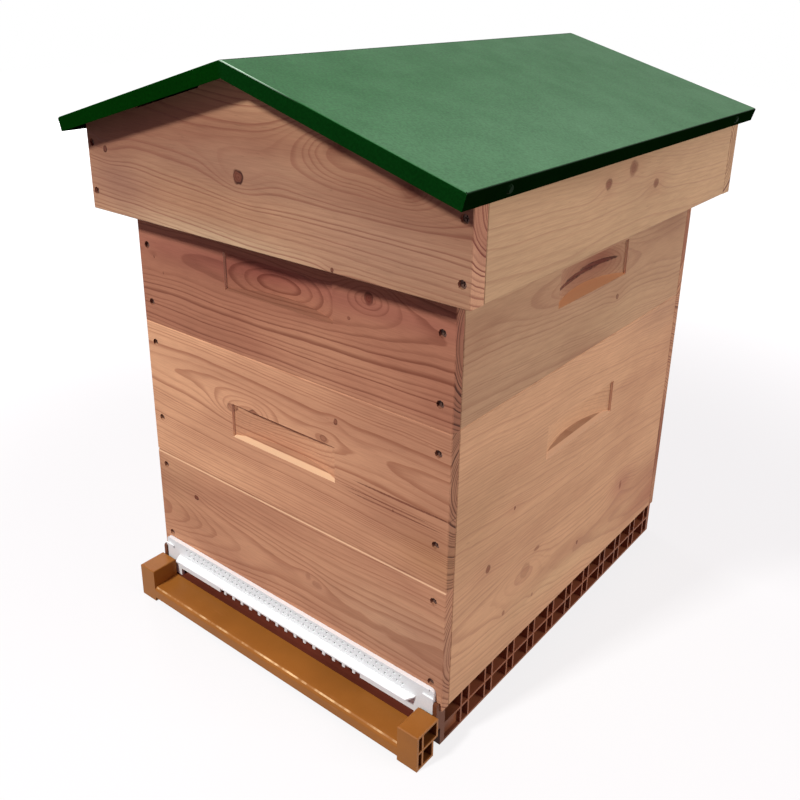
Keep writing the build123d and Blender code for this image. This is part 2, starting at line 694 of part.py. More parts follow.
def crown_board():
    """Crown board: a panel on the super's rim, framed above by four battens."""
    base = SUPER_TOP + CROWN_PANEL
    save("crown_panel", block(-HALF_WIDTH, HALF_WIDTH, -HALF_DEPTH, HALF_DEPTH, SUPER_TOP, base))
    wide = CROWN_RIM_WIDTH
    front = block(-HALF_WIDTH, HALF_WIDTH, -HALF_DEPTH, wide - HALF_DEPTH, base, CROWN_TOP)
    side = block(HALF_WIDTH - wide, HALF_WIDTH, wide - HALF_DEPTH, HALF_DEPTH - wide, base, CROWN_TOP)
    save("crown_battens", front, half_turn(front), side, mirror_x(side))


def under_sheet(x):
    """Height of the sheet's underside."""
    return RIDGE_HEIGHT - SHEET_DROP - abs(x) * math.tan(ROOF_SLOPE)


def gable():
    """Front gable with two vent notches under the sheet and a notch for the ridge batten."""
    half = ROOF_WIDTH / 2
    face = -ROOF_DEPTH / 2
    inner = face + ROOF_BOARD
    outline = [(-half, ROOF_BOTTOM), (half, ROOF_BOTTOM), (half, under_sheet(half)), (0, under_sheet(0)),
               (-half, under_sheet(half))]
    board = prism_along_y(outline, face, inner)
    uprights = board.edges().filter_by(Axis.Z)
    underside = board.edges().filter_by(Axis.X).group_by(Axis.Y)[0]
    board = chamfer(uprights + underside, EDGE_EASE)
    near, far = VENT_START, VENT_START + VENT_LENGTH
    for side in (-1, 1):
        notch = [(side * near, under_sheet(near) - VENT_DEPTH), (side * far, under_sheet(far) - VENT_DEPTH),
                 (side * far, RIDGE_HEIGHT), (side * near, RIDGE_HEIGHT)]
        board -= prism_along_y(notch, face - OVERCUT, inner + OVERCUT)
    batten = RIDGE_BATTEN_WIDTH / 2 + BATTEN_CLEARANCE
    seat = under_sheet(0) - RIDGE_BATTEN_HEIGHT
    board -= block(-batten, batten, face - OVERCUT, inner + OVERCUT, seat, RIDGE_HEIGHT)
    return board


def roof_side():
    """Right roof board between the gables, its top planed to the slope."""
    half = ROOF_WIDTH / 2
    length = ROOF_DEPTH / 2 - ROOF_BOARD
    inner = half - ROOF_BOARD
    outline = [(inner, ROOF_BOTTOM), (half, ROOF_BOTTOM), (half, under_sheet(half)),
               (inner, under_sheet(inner))]
    board = prism_along_y(outline, -length, length)
    outside = board.edges().group_by(Axis.X)[-1]
    return chamfer(outside.filter_by(Axis.Z) + outside.filter_by(Axis.Y).group_by(Axis.Z)[0], EDGE_EASE)


def ridge_batten():
    """Batten under the ridge, let into both gables."""
    half = RIDGE_BATTEN_WIDTH / 2
    length = ROOF_DEPTH / 2 - RIDGE_RECESS
    seat = under_sheet(0) - RIDGE_BATTEN_HEIGHT
    outline = [(-half, seat), (half, seat), (half, under_sheet(half)), (0, under_sheet(0)),
               (-half, under_sheet(half))]
    return prism_along_y(outline, -length, length)


def rest_batten():
    """Batten inside the front gable, by which the roof rests on the crown board."""
    half = ROOF_WIDTH / 2 - ROOF_BOARD
    front = ROOF_BOARD - ROOF_DEPTH / 2
    rear = CROWN_RIM_WIDTH - HALF_DEPTH
    return block(-half, half, front, rear, CROWN_TOP, CROWN_TOP + REST_BATTEN)


def fold_offset(distance):
    """Step down the right eave fold, square to the slope."""
    return -distance * math.sin(ROOF_SLOPE), -distance * math.cos(ROOF_SLOPE)


def roof_sheet():
    """Folded sheet: two slopes, eave folds square to them, and upright folds along the gable ends."""
    half = SHEET_WIDTH / 2
    end = SHEET_DEPTH / 2
    down_x, down_z = fold_offset(SHEET_FOLD)
    in_x, in_z = fold_offset(SHEET_THICK)
    slope_x = SHEET_THICK * math.cos(ROOF_SLOPE)
    slope_z = SHEET_THICK * math.sin(ROOF_SLOPE)
    eave = (half, EAVE_HEIGHT)
    lip = (half + down_x, EAVE_HEIGHT + down_z)
    lip_in = (lip[0] - slope_x, lip[1] + slope_z)
    eave_in = (half + in_x - slope_x, EAVE_HEIGHT + in_z + slope_z)
    right = [eave, lip, lip_in, eave_in]
    left = [(-x, z) for x, z in reversed(right)]
    sheet = prism_along_y([(0, RIDGE_HEIGHT), *right, (0, RIDGE_HEIGHT - SHEET_DROP), *left], -end, end)
    fold = [(0, RIDGE_HEIGHT), eave, lip, (0, RIDGE_HEIGHT - SHEET_FOLD / math.cos(ROOF_SLOPE)),
            (-lip[0], lip[1]), (-half, EAVE_HEIGHT)]
    front = prism_along_y(fold, -end, SHEET_THICK - end)
    return sheet + front + half_turn(front)


def at_fold(y):
    """Place on the right eave fold, its +Y axis pointing out of the fold."""
    down_x, down_z = fold_offset(SHEET_FOLD / 2)
    tilt = Rot(0, math.degrees(ROOF_SLOPE), 0) * Rot(0, 0, -90)
    return Pos(SHEET_WIDTH / 2 + down_x, y, EAVE_HEIGHT + down_z) * tilt


def sheet_screw(y):
    """Pan-head screw through the right eave fold into the roof side board, square to the fold."""
    head = faceted([(0, SHEET_SCREW_HEAD / 2), (SHEET_SCREW_HEAD_DEPTH, SHEET_SCREW_CROWN / 2)])
    shank = faceted([(-SHEET_SCREW_LENGTH, SCREW_SHANK / 2), (0, SCREW_SHANK / 2)])
    return at_fold(y) * (head + shank)


def sheet_screw_hole(y):
    """Room for that screw in the fold and the board."""
    radius = SCREW_SHANK / 2 + SCREW_CLEARANCE
    return at_fold(y) * faceted([(-SHEET_SCREW_LENGTH - SCREW_CLEARANCE, radius), (OVERCUT, radius)])


def roof():
    """Wooden roof frame, sheet and screws."""
    face = -ROOF_DEPTH / 2
    heights = [ROOF_BOTTOM + h for h in ROOF_SCREWS]
    holes = corner_screws(heights, ROOF_SCREW_INSET, ROOF_WIDTH / 2, face, screw_hole)
    front = cut_all(gable(), holes)
    save("roof_front_gable", front)
    save("roof_rear_gable", half_turn(front))
    places = row(SHEET_SCREWS, SHEET_SCREW_PITCH)
    right_sheet_holes = [sheet_screw_hole(y) for y in places]
    right_holes = [h for h in holes if h.center().X > 0]
    rear_holes = [half_turn(h) for h in holes if h.center().X < 0]
    side = cut_all(roof_side(), [*right_holes, *rear_holes, *right_sheet_holes])
    save("roof_right_side", side)
    save("roof_left_side", mirror_x(side))
    save("roof_ridge_batten", ridge_batten())
    batten = rest_batten()
    save("roof_rest_battens", batten, half_turn(batten))
    sheet_holes = [*right_sheet_holes, *[mirror_x(h) for h in right_sheet_holes]]
    save("roof_sheet", cut_all(roof_sheet(), sheet_holes))
    gable_screws = corner_screws(heights, ROOF_SCREW_INSET, ROOF_WIDTH / 2, face, screw_at)
    save("roof_screws", *gable_screws, *[half_turn(s) for s in gable_screws])
    right_screws = [sheet_screw(y) for y in places]
    save("sheet_screws", *right_screws, *[mirror_x(s) for s in right_screws])


def floor():
    """Floor with its grid, tray, flight board and entrance reducer."""
    rail = floor_rail()
    save("floor_right_rail", rail)
    save("floor_left_rail", mirror_x(rail))
    save("floor_front_sill", front_sill())
    save("floor_rear_bar", rear_bar())
    save("ventilation_grid", ventilation_grid())
    inspection_tray()
    save("flight_board", flight_board())
    save("entrance_reducer", entrance_reducer())


os.makedirs("parts", exist_ok=True)
floor()
box_walls("brood", FLOOR_HEIGHT, BROOD_TOP, BROOD_SCREWS, seam=SEAM_HEIGHT)
spacer_strips("brood", BROOD_TOP, BROOD_FRAMES)
frames("brood", BROOD_TOP, BROOD_FRAMES, BROOD_FRAME_HEIGHT)
box_walls("super", BROOD_TOP, SUPER_TOP, SUPER_SCREWS)
spacer_strips("super", SUPER_TOP, SUPER_FRAMES)
frames("super", SUPER_TOP, SUPER_FRAMES, SUPER_FRAME_HEIGHT)
crown_board()
roof()
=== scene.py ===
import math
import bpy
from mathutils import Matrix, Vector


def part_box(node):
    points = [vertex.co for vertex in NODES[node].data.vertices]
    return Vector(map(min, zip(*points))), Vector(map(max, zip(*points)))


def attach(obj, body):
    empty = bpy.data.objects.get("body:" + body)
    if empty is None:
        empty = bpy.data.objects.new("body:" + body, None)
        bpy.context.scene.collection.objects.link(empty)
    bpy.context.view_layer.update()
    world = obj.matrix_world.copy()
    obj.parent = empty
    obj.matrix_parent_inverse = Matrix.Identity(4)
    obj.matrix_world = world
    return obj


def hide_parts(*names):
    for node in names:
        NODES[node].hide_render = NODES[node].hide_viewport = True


bl_info = {
    "name": "Dadant hive",
    "version": (1, 0, 0),
    "blender": (4, 5, 0),
    "location": "3D View > Sidebar > Hive",
    "description": "Finishes a wooden Dadant hive with a green metal roof on a ribbed plastic floor",
    "category": "Object",
}

from typing import NamedTuple

import bpy
import numpy as np
from bpy.props import FloatProperty, FloatVectorProperty, PointerProperty
from mathutils import Matrix

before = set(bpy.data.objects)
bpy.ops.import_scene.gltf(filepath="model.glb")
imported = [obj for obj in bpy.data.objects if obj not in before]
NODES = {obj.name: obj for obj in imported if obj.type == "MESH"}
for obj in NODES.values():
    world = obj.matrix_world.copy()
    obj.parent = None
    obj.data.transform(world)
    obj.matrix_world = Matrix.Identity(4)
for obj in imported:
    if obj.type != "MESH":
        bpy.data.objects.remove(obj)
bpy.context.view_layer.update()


class HiveSizes(bpy.types.PropertyGroup):
    """Sizes of the folded roof sheet and the screws."""

    roof_rise: FloatProperty(
        name="Roof rise", description="Height of the ridge above the eaves", unit="LENGTH", min=0.0, max=0.3,
        default=0.0744)
    sheet_fold: FloatProperty(
        name="Fold", description="Depth of the sheet's folds", unit="LENGTH", min=0.005, max=0.05,
        default=0.015)
    sheet_bend: FloatProperty(
        name="Bend", description="Outer radius of the sheet's bends", unit="LENGTH", min=0.0005, max=0.005,
        default=0.0018)
    sheet_thick: FloatProperty(
        name="Sheet", description="Thickness of the sheet", unit="LENGTH", min=0.0003, max=0.002,
        default=0.0008)
    screw_head: FloatProperty(
        name="Screw head", description="Radius of a screw's head", unit="LENGTH", min=0.001, max=0.01,
        default=0.0042)
    screw_length: FloatProperty(
        name="Screw length", description="Length of a screw", unit="LENGTH", min=0.01, max=0.1,
        default=0.050)


class HiveWood(bpy.types.PropertyGroup):
    """Colours and growth of the planed softwood boards."""

    early: FloatVectorProperty(
        name="Early wood", description="Pale spring growth between the rings", subtype="COLOR", size=3,
        min=0.0, max=1.0, default=(0.600, 0.335, 0.185))
    late: FloatVectorProperty(
        name="Late wood", description="Brown summer growth that draws the grain lines",
        subtype="COLOR", size=3, min=0.0, max=1.0, default=(0.262, 0.092, 0.046))
    heart: FloatVectorProperty(
        name="Heart wood", description="Pink brown wood near the pith", subtype="COLOR", size=3,
        min=0.0, max=1.0, default=(0.405, 0.178, 0.103))
    knot: FloatVectorProperty(
        name="Knot", description="Core of a knot", subtype="COLOR", size=3, min=0.0, max=1.0,
        default=(0.165, 0.043, 0.025))
    bark: FloatVectorProperty(
        name="Knot rim", description="Dark rim round a knot", subtype="COLOR", size=3, min=0.0, max=1.0,
        default=(0.046, 0.011, 0.007))
    # Painted highlight: this pale colour on bevels and hand-hold sills that look up stands for the light
    # falling on them
    cut_highlight: FloatVectorProperty(
        name="Fresh cut", description="Pale wood of bevels and of hand-hold sills", subtype="COLOR", size=3,
        min=0.0, max=1.0, default=(0.80, 0.56, 0.33))
    ring: FloatProperty(
        name="Ring width", description="Growth of one year", unit="LENGTH", min=0.001, max=0.02,
        default=0.0040)
    frame_wood: FloatVectorProperty(
        name="Frame wood", description="Pale wood of the frames", subtype="COLOR", size=3, min=0.0, max=1.0,
        default=(0.66, 0.45, 0.26))


class HiveFinishes(bpy.types.PropertyGroup):
    """Colours of the painted, moulded and metal pieces."""

    green: FloatVectorProperty(
        name="Roof paint", description="Green paint of the roof's slopes",
        subtype="COLOR", size=3, min=0.0, max=1.0, default=(0.028, 0.145, 0.041))
    fold_green: FloatVectorProperty(
        name="Fold paint", description="Darker green of the upright folds",
        subtype="COLOR", size=3, min=0.0, max=1.0, default=(0.0011, 0.0245, 0.0015))
    ochre: FloatVectorProperty(
        name="Flight board", description="Moulded ochre plastic", subtype="COLOR", size=3, min=0.0, max=1.0,
        default=(0.332, 0.126, 0.0215))
    brown: FloatVectorProperty(
        name="Floor", description="Moulded brown plastic of the floor",
        subtype="COLOR", size=3, min=0.0, max=1.0, default=(0.255, 0.088, 0.037))
    # Painted shade: this darker brown on the front sill stands for the shade under the reducer's hood
    sill_shade: FloatVectorProperty(
        name="Front sill", description="Brown plastic of the sill, stained by the bees",
        subtype="COLOR", size=3, min=0.0, max=1.0, default=(0.130, 0.030, 0.016))
    white: FloatVectorProperty(
        name="Reducer", description="White plastic of the entrance reducer",
        subtype="COLOR", size=3, min=0.0, max=1.0, default=(0.730, 0.775, 0.758))
    tray: FloatVectorProperty(
        name="Tray", description="Pale plastic of the inspection tray",
        subtype="COLOR", size=3, min=0.0, max=1.0, default=(0.54, 0.70, 0.60))
    wax: FloatVectorProperty(
        name="Wax", description="Beeswax of the foundation sheets",
        subtype="COLOR", size=3, min=0.0, max=1.0, default=(0.72, 0.40, 0.085))
    zinc: FloatVectorProperty(
        name="Zinc", description="Zinc plating of the spacer strips",
        subtype="COLOR", size=3, min=0.0, max=1.0, default=(0.46, 0.45, 0.43))
    screw: FloatVectorProperty(
        name="Screw", description="Dull dark steel of the screws", subtype="COLOR", size=3, min=0.0, max=1.0,
        default=(0.120, 0.062, 0.044))


class HiveStage(bpy.types.PropertyGroup):
    """Floor and studio light."""

    floor: FloatProperty(
        name="Floor shade", description="Light that the pale floor gives back",
        subtype="FACTOR", min=0.0, max=1.0, default=0.18)
    key: FloatProperty(
        name="Key light", description="Brightness that the light above the front gives a white card",
        subtype="FACTOR", min=0.0, max=2.0, default=0.92)
    side: FloatProperty(
        name="Side light", description="Brightness that the light on the right gives a white card",
        subtype="FACTOR", min=0.0, max=2.0, default=0.68)
    rear: FloatProperty(
        name="Rear light", description="Brightness that the light behind the left gives a white card",
        subtype="FACTOR", min=0.0, max=2.0, default=0.55)
    world: FloatProperty(
        name="Surrounding light", description="Strength of the even light from all round", subtype="FACTOR",
        min=0.0, max=2.0, default=0.23)


class Knot(NamedTuple):
    """Knot in a board: its place along the grain, height, radius, stretch along the grain and darkness, the
    reach and push of the swirl round it, how soft its edge is, and how many times longer than high the
    swirl is."""

    along: float
    height: float
    radius: float
    stretch: float
    dark: float
    reach: float
    push: float
    soft: float = 0.0
    swirl: float = 1.7


class Tint(NamedTuple):
    """Darker or paler patch of a board, for its tone or as painted shade: its place along the grain,
    height and reach, how many times longer than high it is, and the colour that multiplies the wood."""

    along: float
    height: float
    reach: float
    longer: float
    colour: tuple


WHITE = (1.0, 1.0, 1.0, 1.0)
SURROUNDING_LIGHT = (1.0, 0.43, 0.74, 1.0)
# Painted light on the end walls of hand-holds
PAINTED_END_WALL_LIGHT = (1.0, 0.76, 0.52, 1.0)
PALE_ROOF_WOOD = (0.570, 0.372, 0.205)
# Painted highlight on the flight board's nose
NOSE_HIGHLIGHT = (1.0, 0.72, 0.36, 1.0)
# Painted shade in the end blocks' open cells
PAINTED_CELL_SHADE = (0.070, 0.016, 0.006, 1.0)
# Painted highlight on the roof sheet's front bend
PAINTED_BEND_HIGHLIGHT = (0.62, 0.88, 0.66, 1.0)

# Shares of the paint's red, green and blue
EAVE_SLOPE = (2.3, 1.38, 2.0)
RIGHT_FOLD = (1.7, 1.15, 2.3)
EAVE_FOLD = (0.94, 0.28, 0.58)
SHEET_SCREW = (0.3, 0.3, 0.3)

# Limits of the open cells in the flight board's end blocks, where shade is painted, each from plain to dark
CELL_OUTER = (0.2157, 0.2140)
CELL_INNER = (0.1925, 0.1935)
CELL_FRONT = (-0.2890, -0.2880)
CELL_TOP = (0.0418, 0.0408)

# Depths between which the floor's rails darken to the front, and limits of other finishes
FLOOR_FRONT = (-0.205, -0.240)
NOSE_TOP = 0.0255
NOSE_EDGE = 0.001
CROWN_RIM = 0.230
UNDER_BROOD_RIM = 0.345
SHARP_EDGE = 0.0001


def add(tree, kind, inputs=None, **settings):
    """Adds a node to a tree, sets its properties, and links or fills its inputs."""
    node = tree.nodes.new(kind)
    for key, value in settings.items():
        setattr(node, key, value)
    for key, value in (inputs or {}).items():
        if isinstance(value, bpy.types.NodeSocket):
            tree.links.new(value, node.inputs[key])
        else:
            node.inputs[key].default_value = value
    return node


def maths(tree, operation, *values, clamp=False):
    """Output of a Math node on one to three values."""
    node = add(tree, "ShaderNodeMath", dict(enumerate(values)), operation=operation, use_clamp=clamp)
    return node.outputs[0]


def times(tree, first, *others):
    """Product of values."""
    for other in others:
        first = maths(tree, "MULTIPLY", first, other)
    return first


def centred(tree, value):
    """A noise's value about zero."""
    return maths(tree, "SUBTRACT", value, 0.5)


def absolute(tree, value):
    """A value without its sign."""
    return maths(tree, "ABSOLUTE", value)


def without(tree, mask):
    """What a mask leaves of one."""
    return maths(tree, "SUBTRACT", 1.0, mask)


def fade(tree, mask, loss):
    """One, less a share of a mask."""
    return maths(tree, "MULTIPLY_ADD", mask, -loss, 1.0)


def length(tree, a, b):
    """Length of the hypotenuse of two values."""
    return maths(tree, "SQRT", maths(tree, "ADD", times(tree, a, a), times(tree, b, b)))


def bell(tree, along, across, reach):
    """Bell of the distance: one in the middle, and it falls with the square of the distance in reaches."""
    far = maths(tree, "DIVIDE", length(tree, along, across), reach)
    return maths(tree, "EXPONENT", times(tree, far, far, -0.5))


def split(tree, vector):
    """The three parts of a vector."""
    return add(tree, "ShaderNodeSeparateXYZ", {0: vector}).outputs


def ramp(tree, value, low, high, to_low=0.0, to_high=1.0):
    """Smooth step of a value between two limits."""
    limits = {"Value": value, "From Min": low, "From Max": high, "To Min": to_low, "To Max": to_high}
    return add(tree, "ShaderNodeMapRange", limits, interpolation_type="SMOOTHSTEP").outputs["Result"]


def mix(tree, factor, a, b, blend="MIX"):
    """Output of a colour Mix node."""
    node = add(tree, "ShaderNodeMix", {0: factor, 6: a, 7: b}, data_type="RGBA", blend_type=blend)
    return node.outputs[2]


def opaque(colour):
    """Colour with full alpha."""
    return (*colour, 1.0)


def toned(colour, shares):
    """Colour with each channel multiplied by its share."""
    return [channel * share for channel, share in zip(colour, shares)]


def alike(tree, value):
    """Vector or grey colour with a value in all three parts."""
    return add(tree, "ShaderNodeCombineXYZ", {0: value, 1: value, 2: value}).outputs[0]


def shaded(tree, colour, level):
    """Colour made darker or brighter by a value."""
    return mix(tree, 1.0, colour, alike(tree, level), "MULTIPLY")


def noise(tree, vector, scale, detail=2.0, roughness=0.5):
    """Value of a 3-D noise, about a half."""
    node = add(tree, "ShaderNodeTexNoise", {"Vector": vector, "Scale": scale, "Detail": detail,
                                            "Roughness": roughness})
    return node.outputs[0]


def mapped(tree, vector, **changes):
    """Vector that a Mapping node scales, turns or moves."""
    return add(tree, "ShaderNodeMapping", {"Vector": vector, **changes}).outputs[0]


def streaks(tree, vector, scale, detail, roughness=0.5):
    """Value of a noise that is stretched by axis."""
    return noise(tree, mapped(tree, vector, Scale=scale), 1.0, detail, roughness)


# Kinds of the sockets that aren't numbers
SOCKETS = {"Vector": "NodeSocketVector", "Normal": "NodeSocketVector", "Colour": "NodeSocketColor",
           "Tint": "NodeSocketColor"}


def new_group(name, inputs, outputs):
    """Empty shader node group with named sockets: its tree, what its inputs give, and its output node."""
    tree = bpy.data.node_groups.new(name, "ShaderNodeTree")
    for socket, default in inputs.items():
        kind = SOCKETS.get(socket, "NodeSocketFloat")
        made = tree.interface.new_socket(name=socket, in_out="INPUT", socket_type=kind)
        if default is not None:
            made.default_value = default
    for socket in outputs:
        kind = SOCKETS.get(socket, "NodeSocketFloat")
        tree.interface.new_socket(name=socket, in_out="OUTPUT", socket_type=kind)
    return tree, add(tree, "NodeGroupInput").outputs, add(tree, "NodeGroupOutput")


def give_out(tree, end, **values):
    """Joins values to a group's outputs."""
    for key, value in values.items():
        tree.links.new(value, end.inputs[key])


def use(tree, name, **inputs):
    """Outputs of a shared group that is placed in a material with its own values."""
    sockets = {key.replace("_", " "): value for key, value in inputs.items()}
    return add(tree, "ShaderNodeGroup", sockets, node_tree=bpy.data.node_groups[name]).outputs


def knot_group():
    """Knot through a board. Its core and rim come from the distance to its axis in radii, with an uneven
    edge that Soft blurs. A bell of the distance, wider along the grain, pushes the growth rings aside and
    gives a warm halo."""
    tree, s, end = new_group(
        "Knot",
        {"Vector": None, "Along": 0.0, "Across": 0.0, "Radius": 0.006, "Stretch": 1.0, "Reach": 0.012,
         "Push": -0.006, "Dark": 1.0, "Soft": 0.0, "Long": 1.7},
        ("Shift", "Core", "Rim", "Halo"))
    axes = split(tree, s["Vector"])
    along = maths(tree, "SUBTRACT", axes[0], s["Along"])
    across = maths(tree, "SUBTRACT", axes[2], s["Across"])
    wobble = noise(tree, s["Vector"], maths(tree, "DIVIDE", 0.9, s["Radius"]), 1.0)
    core = length(tree, maths(tree, "DIVIDE", along, s["Stretch"]), across)
    core = maths(tree, "DIVIDE", core, s["Radius"])
    uneven = maths(tree, "DIVIDE", 0.7, maths(tree, "MAXIMUM", s["Stretch"], 1.0))
    core = maths(tree, "MULTIPLY_ADD", centred(tree, wobble), uneven, core)
    years = maths(tree, "MULTIPLY_ADD", maths(tree, "SINE", times(tree, core, 16.0)), 0.08, 0.92)
    outer = maths(tree, "MULTIPLY_ADD", s["Soft"], 0.7, 1.06)
    inner = maths(tree, "MULTIPLY_ADD", s["Soft"], -0.8, 0.86)
    inside = times(tree, ramp(tree, core, outer, inner), years)
    patches = noise(tree, s["Vector"], maths(tree, "DIVIDE", 0.5, s["Radius"]), 1.0)
    rim = times(tree, ramp(tree, core, 0.55, 0.90), ramp(tree, core, 1.22, 1.0),
                ramp(tree, patches, 0.38, 0.60, 0.25, 1.0), without(tree, s["Soft"]))
    swirl = bell(tree, maths(tree, "DIVIDE", along, s["Long"]), across, s["Reach"])
    give_out(tree, end, Shift=times(tree, swirl, s["Push"]), Core=times(tree, inside, s["Dark"]),
             Rim=times(tree, rim, s["Dark"]), Halo=times(tree, swirl, s["Dark"]))


def tint_group():
    """Soft darker or paler patch of wood, for its tone or as painted shade. Its colour multiplies by a
    tint with a bell of the distance, wider along the grain."""
    tree, s, end = new_group(
        "Tint",
        {"Vector": None, "Colour": None, "Tint": None, "Along": 0.0, "Across": 0.0, "Reach": 0.02,
         "Long": 3.0},
        ("Colour",))
    axes = split(tree, s["Vector"])
    along = maths(tree, "DIVIDE", maths(tree, "SUBTRACT", axes[0], s["Along"]), s["Long"])
    across = maths(tree, "SUBTRACT", axes[2], s["Across"])
    share = mix(tree, bell(tree, along, across, s["Reach"]), WHITE, s["Tint"])
    give_out(tree, end, Colour=mix(tree, 1.0, s["Colour"], share, "MULTIPLY"))


def rings_group():
    """Growth rings of a trunk along the X axis: the ring number is the distance from the pith, which tilts
    up to a turn and wanders along the board, divided by the ring width. Each ring darkens slowly and ends
    sharply."""
    tree, s, end = new_group(
        "Growth rings",
        {"Vector": None, "Tilt Y": 0.0, "Tilt Z": 0.0, "Ring": 0.004, "Wander": 0.01, "Seed": 0.0,
         "Shift": 0.0, "Turn": 1.0},
        ("Late", "Tone", "Fibre", "Pores", "Radius"))
    seeded = {0: s["Vector"], 1: alike(tree, s["Seed"])}
    moved = add(tree, "ShaderNodeVectorMath", seeded, operation="ADD").outputs[0]
    axes = split(tree, s["Vector"])
    slow = streaks(tree, moved, (4.0, 11.0, 11.0), 1.0)
    quick = streaks(tree, moved, (14.0, 46.0, 46.0), 2.0)
    drift = times(tree, centred(tree, slow), times(tree, s["Wander"], 4.0))
    shake = times(tree, centred(tree, quick), times(tree, s["Wander"], 0.8))
    level = maths(tree, "SMOOTH_MIN", axes[0], s["Turn"], 0.10)
    deep = maths(tree, "MULTIPLY_ADD", level, s["Tilt Y"], axes[1])
    high = maths(tree, "MULTIPLY_ADD", axes[0], s["Tilt Z"], axes[2])
    radius = maths(tree, "ADD", length(tree, deep, high), drift)
    year = maths(tree, "ADD", radius, maths(tree, "ADD", shake, s["Shift"]))
    year = maths(tree, "DIVIDE", year, s["Ring"])
    uneven = add(tree, "ShaderNodeTexNoise", {"W": maths(tree, "MULTIPLY_ADD", year, 0.31, s["Seed"]),
                                              "Scale": 1.0, "Detail": 0.0}, noise_dimensions="1D").outputs[0]
    year = maths(tree, "MULTIPLY_ADD", centred(tree, uneven), 2.2, year)
    part = maths(tree, "FRACT", year)
    number = maths(tree, "ADD", maths(tree, "FLOOR", year), s["Seed"])
    strength = add(tree, "ShaderNodeTexWhiteNoise", {"W": number}, noise_dimensions="1D").outputs["Value"]
    dark = times(tree, ramp(tree, part, 0.46, 0.90), ramp(tree, part, 1.0, 0.93))
    dashes = streaks(tree, moved, (75.0, 640.0, 640.0), 1.0)
    give_out(tree, end, Radius=radius,
             Late=times(tree, dark, maths(tree, "MULTIPLY_ADD", strength, 0.7, 0.3)),
             Tone=streaks(tree, moved, (5.0, 17.0, 17.0), 3.0),
             Fibre=streaks(tree, moved, (40.0, 820.0, 820.0), 2.0, 0.6),
             Pores=ramp(tree, dashes, 0.70, 0.80))


def face_group():
    """How a face is cut, from its normal and its place with the grain along X. End is end grain, and Wall
    is end grain inside a hand-hold that looks along the grain to one Side, +1 or -1. Faces under the height
    Top that look up and out are a Sill outside the lip's depth and a Ledge behind it."""
    tree, s, end = new_group(
        "Cut face", {"Normal": None, "Vector": None, "Lip": 0.0, "Top": 1.0, "Side": 0.0},
        ("End", "Wall", "Sill", "Ledge"))
    axes = split(tree, s["Normal"])
    place = split(tree, s["Vector"])
    across = ramp(tree, absolute(tree, axes[0]), 0.6, 0.9)
    middle = ramp(tree, absolute(tree, place[0]), 0.16, 0.12)
    shown = ramp(tree, times(tree, axes[0], s["Side"]), 0.6, 0.9)
    out = ramp(tree, absolute(tree, axes[1]), 0.15, 0.35)
    up = times(tree, ramp(tree, axes[2], 0.45, 0.65), out, maths(tree, "LESS_THAN", place[2], s["Top"]))
    past = maths(tree, "SUBTRACT", absolute(tree, place[1]), s["Lip"])
    outside = ramp(tree, past, -0.0003, 0.0003)
    give_out(tree, end, End=times(tree, across, without(tree, middle)), Wall=times(tree, shown, middle),
             Sill=times(tree, up, outside), Ledge=times(tree, up, without(tree, outside)))


def skin_group():
    """Soft clouds, fine speckle and long scuffs of a moulded or painted skin, from three noises."""
    tree, s, end = new_group("Skin", {"Vector": None, "Cloud": 9.0, "Grain": 1400.0},
                             ("Clouds", "Speckle", "Scuffs"))
    lines = streaks(tree, s["Vector"], (12.0, 160.0, 90.0), 3.0, 0.7)
    give_out(tree, end, Clouds=noise(tree, s["Vector"], s["Cloud"], 3.0, 0.55),
             Speckle=noise(tree, s["Vector"], s["Grain"], 1.0, 0.5), Scuffs=ramp(tree, lines, 0.64, 0.74))


def cell_group():
    """Pressed cells of wax foundation: distance to the walls of a hexagon grid, from the larger of three
    folded coordinates about the nearer of two staggered centres."""
    tree, s, end = new_group("Wax cells", {"Vector": None, "Cell": 0.0054}, ("Wall", "Pit"))
    axes = split(tree, s["Vector"])
    across = maths(tree, "DIVIDE", axes[1], s["Cell"])
    up = maths(tree, "DIVIDE", axes[2], times(tree, s["Cell"], math.sqrt(3.0)))
    found = []
    for shift in (0.0, 0.5):
        a = centred(tree, maths(tree, "FRACT", maths(tree, "ADD", across, shift)))
        b = centred(tree, maths(tree, "FRACT", maths(tree, "ADD", up, shift)))
        a = absolute(tree, a)
        b = absolute(tree, times(tree, b, math.sqrt(3.0)))
        slant = maths(tree, "ADD", times(tree, a, 0.5), times(tree, b, math.sqrt(3.0) / 2))
        found.append(maths(tree, "MAXIMUM", a, slant))
    distance = maths(tree, "MINIMUM", *found)
    give_out(tree, end, Wall=ramp(tree, distance, 0.36, 0.47), Pit=ramp(tree, distance, 0.0, 0.40))


def new_material(name):
    """Node material with an empty tree: the material, its tree, its coordinates and its output node."""
    material = bpy.data.materials.new(name)
    material.use_nodes = True
    tree = material.node_tree
    tree.nodes.clear()
    return material, tree, add(tree, "ShaderNodeTexCoord").outputs, add(tree, "ShaderNodeOutputMaterial")


def principled(tree, output, **sockets):
    """Joins a Principled shader to the material's output."""
    names = {key.replace("_", " "): value for key, value in sockets.items()}
    shader = add(tree, "ShaderNodeBsdfPrincipled", names)
    tree.links.new(shader.outputs[0], output.inputs["Surface"])


def relief(tree, height, distance, strength):
    """Normal of a Bump node."""
    node = add(tree, "ShaderNodeBump", {"Height": height, "Distance": distance, "Strength": strength})
    return node.outputs[0]


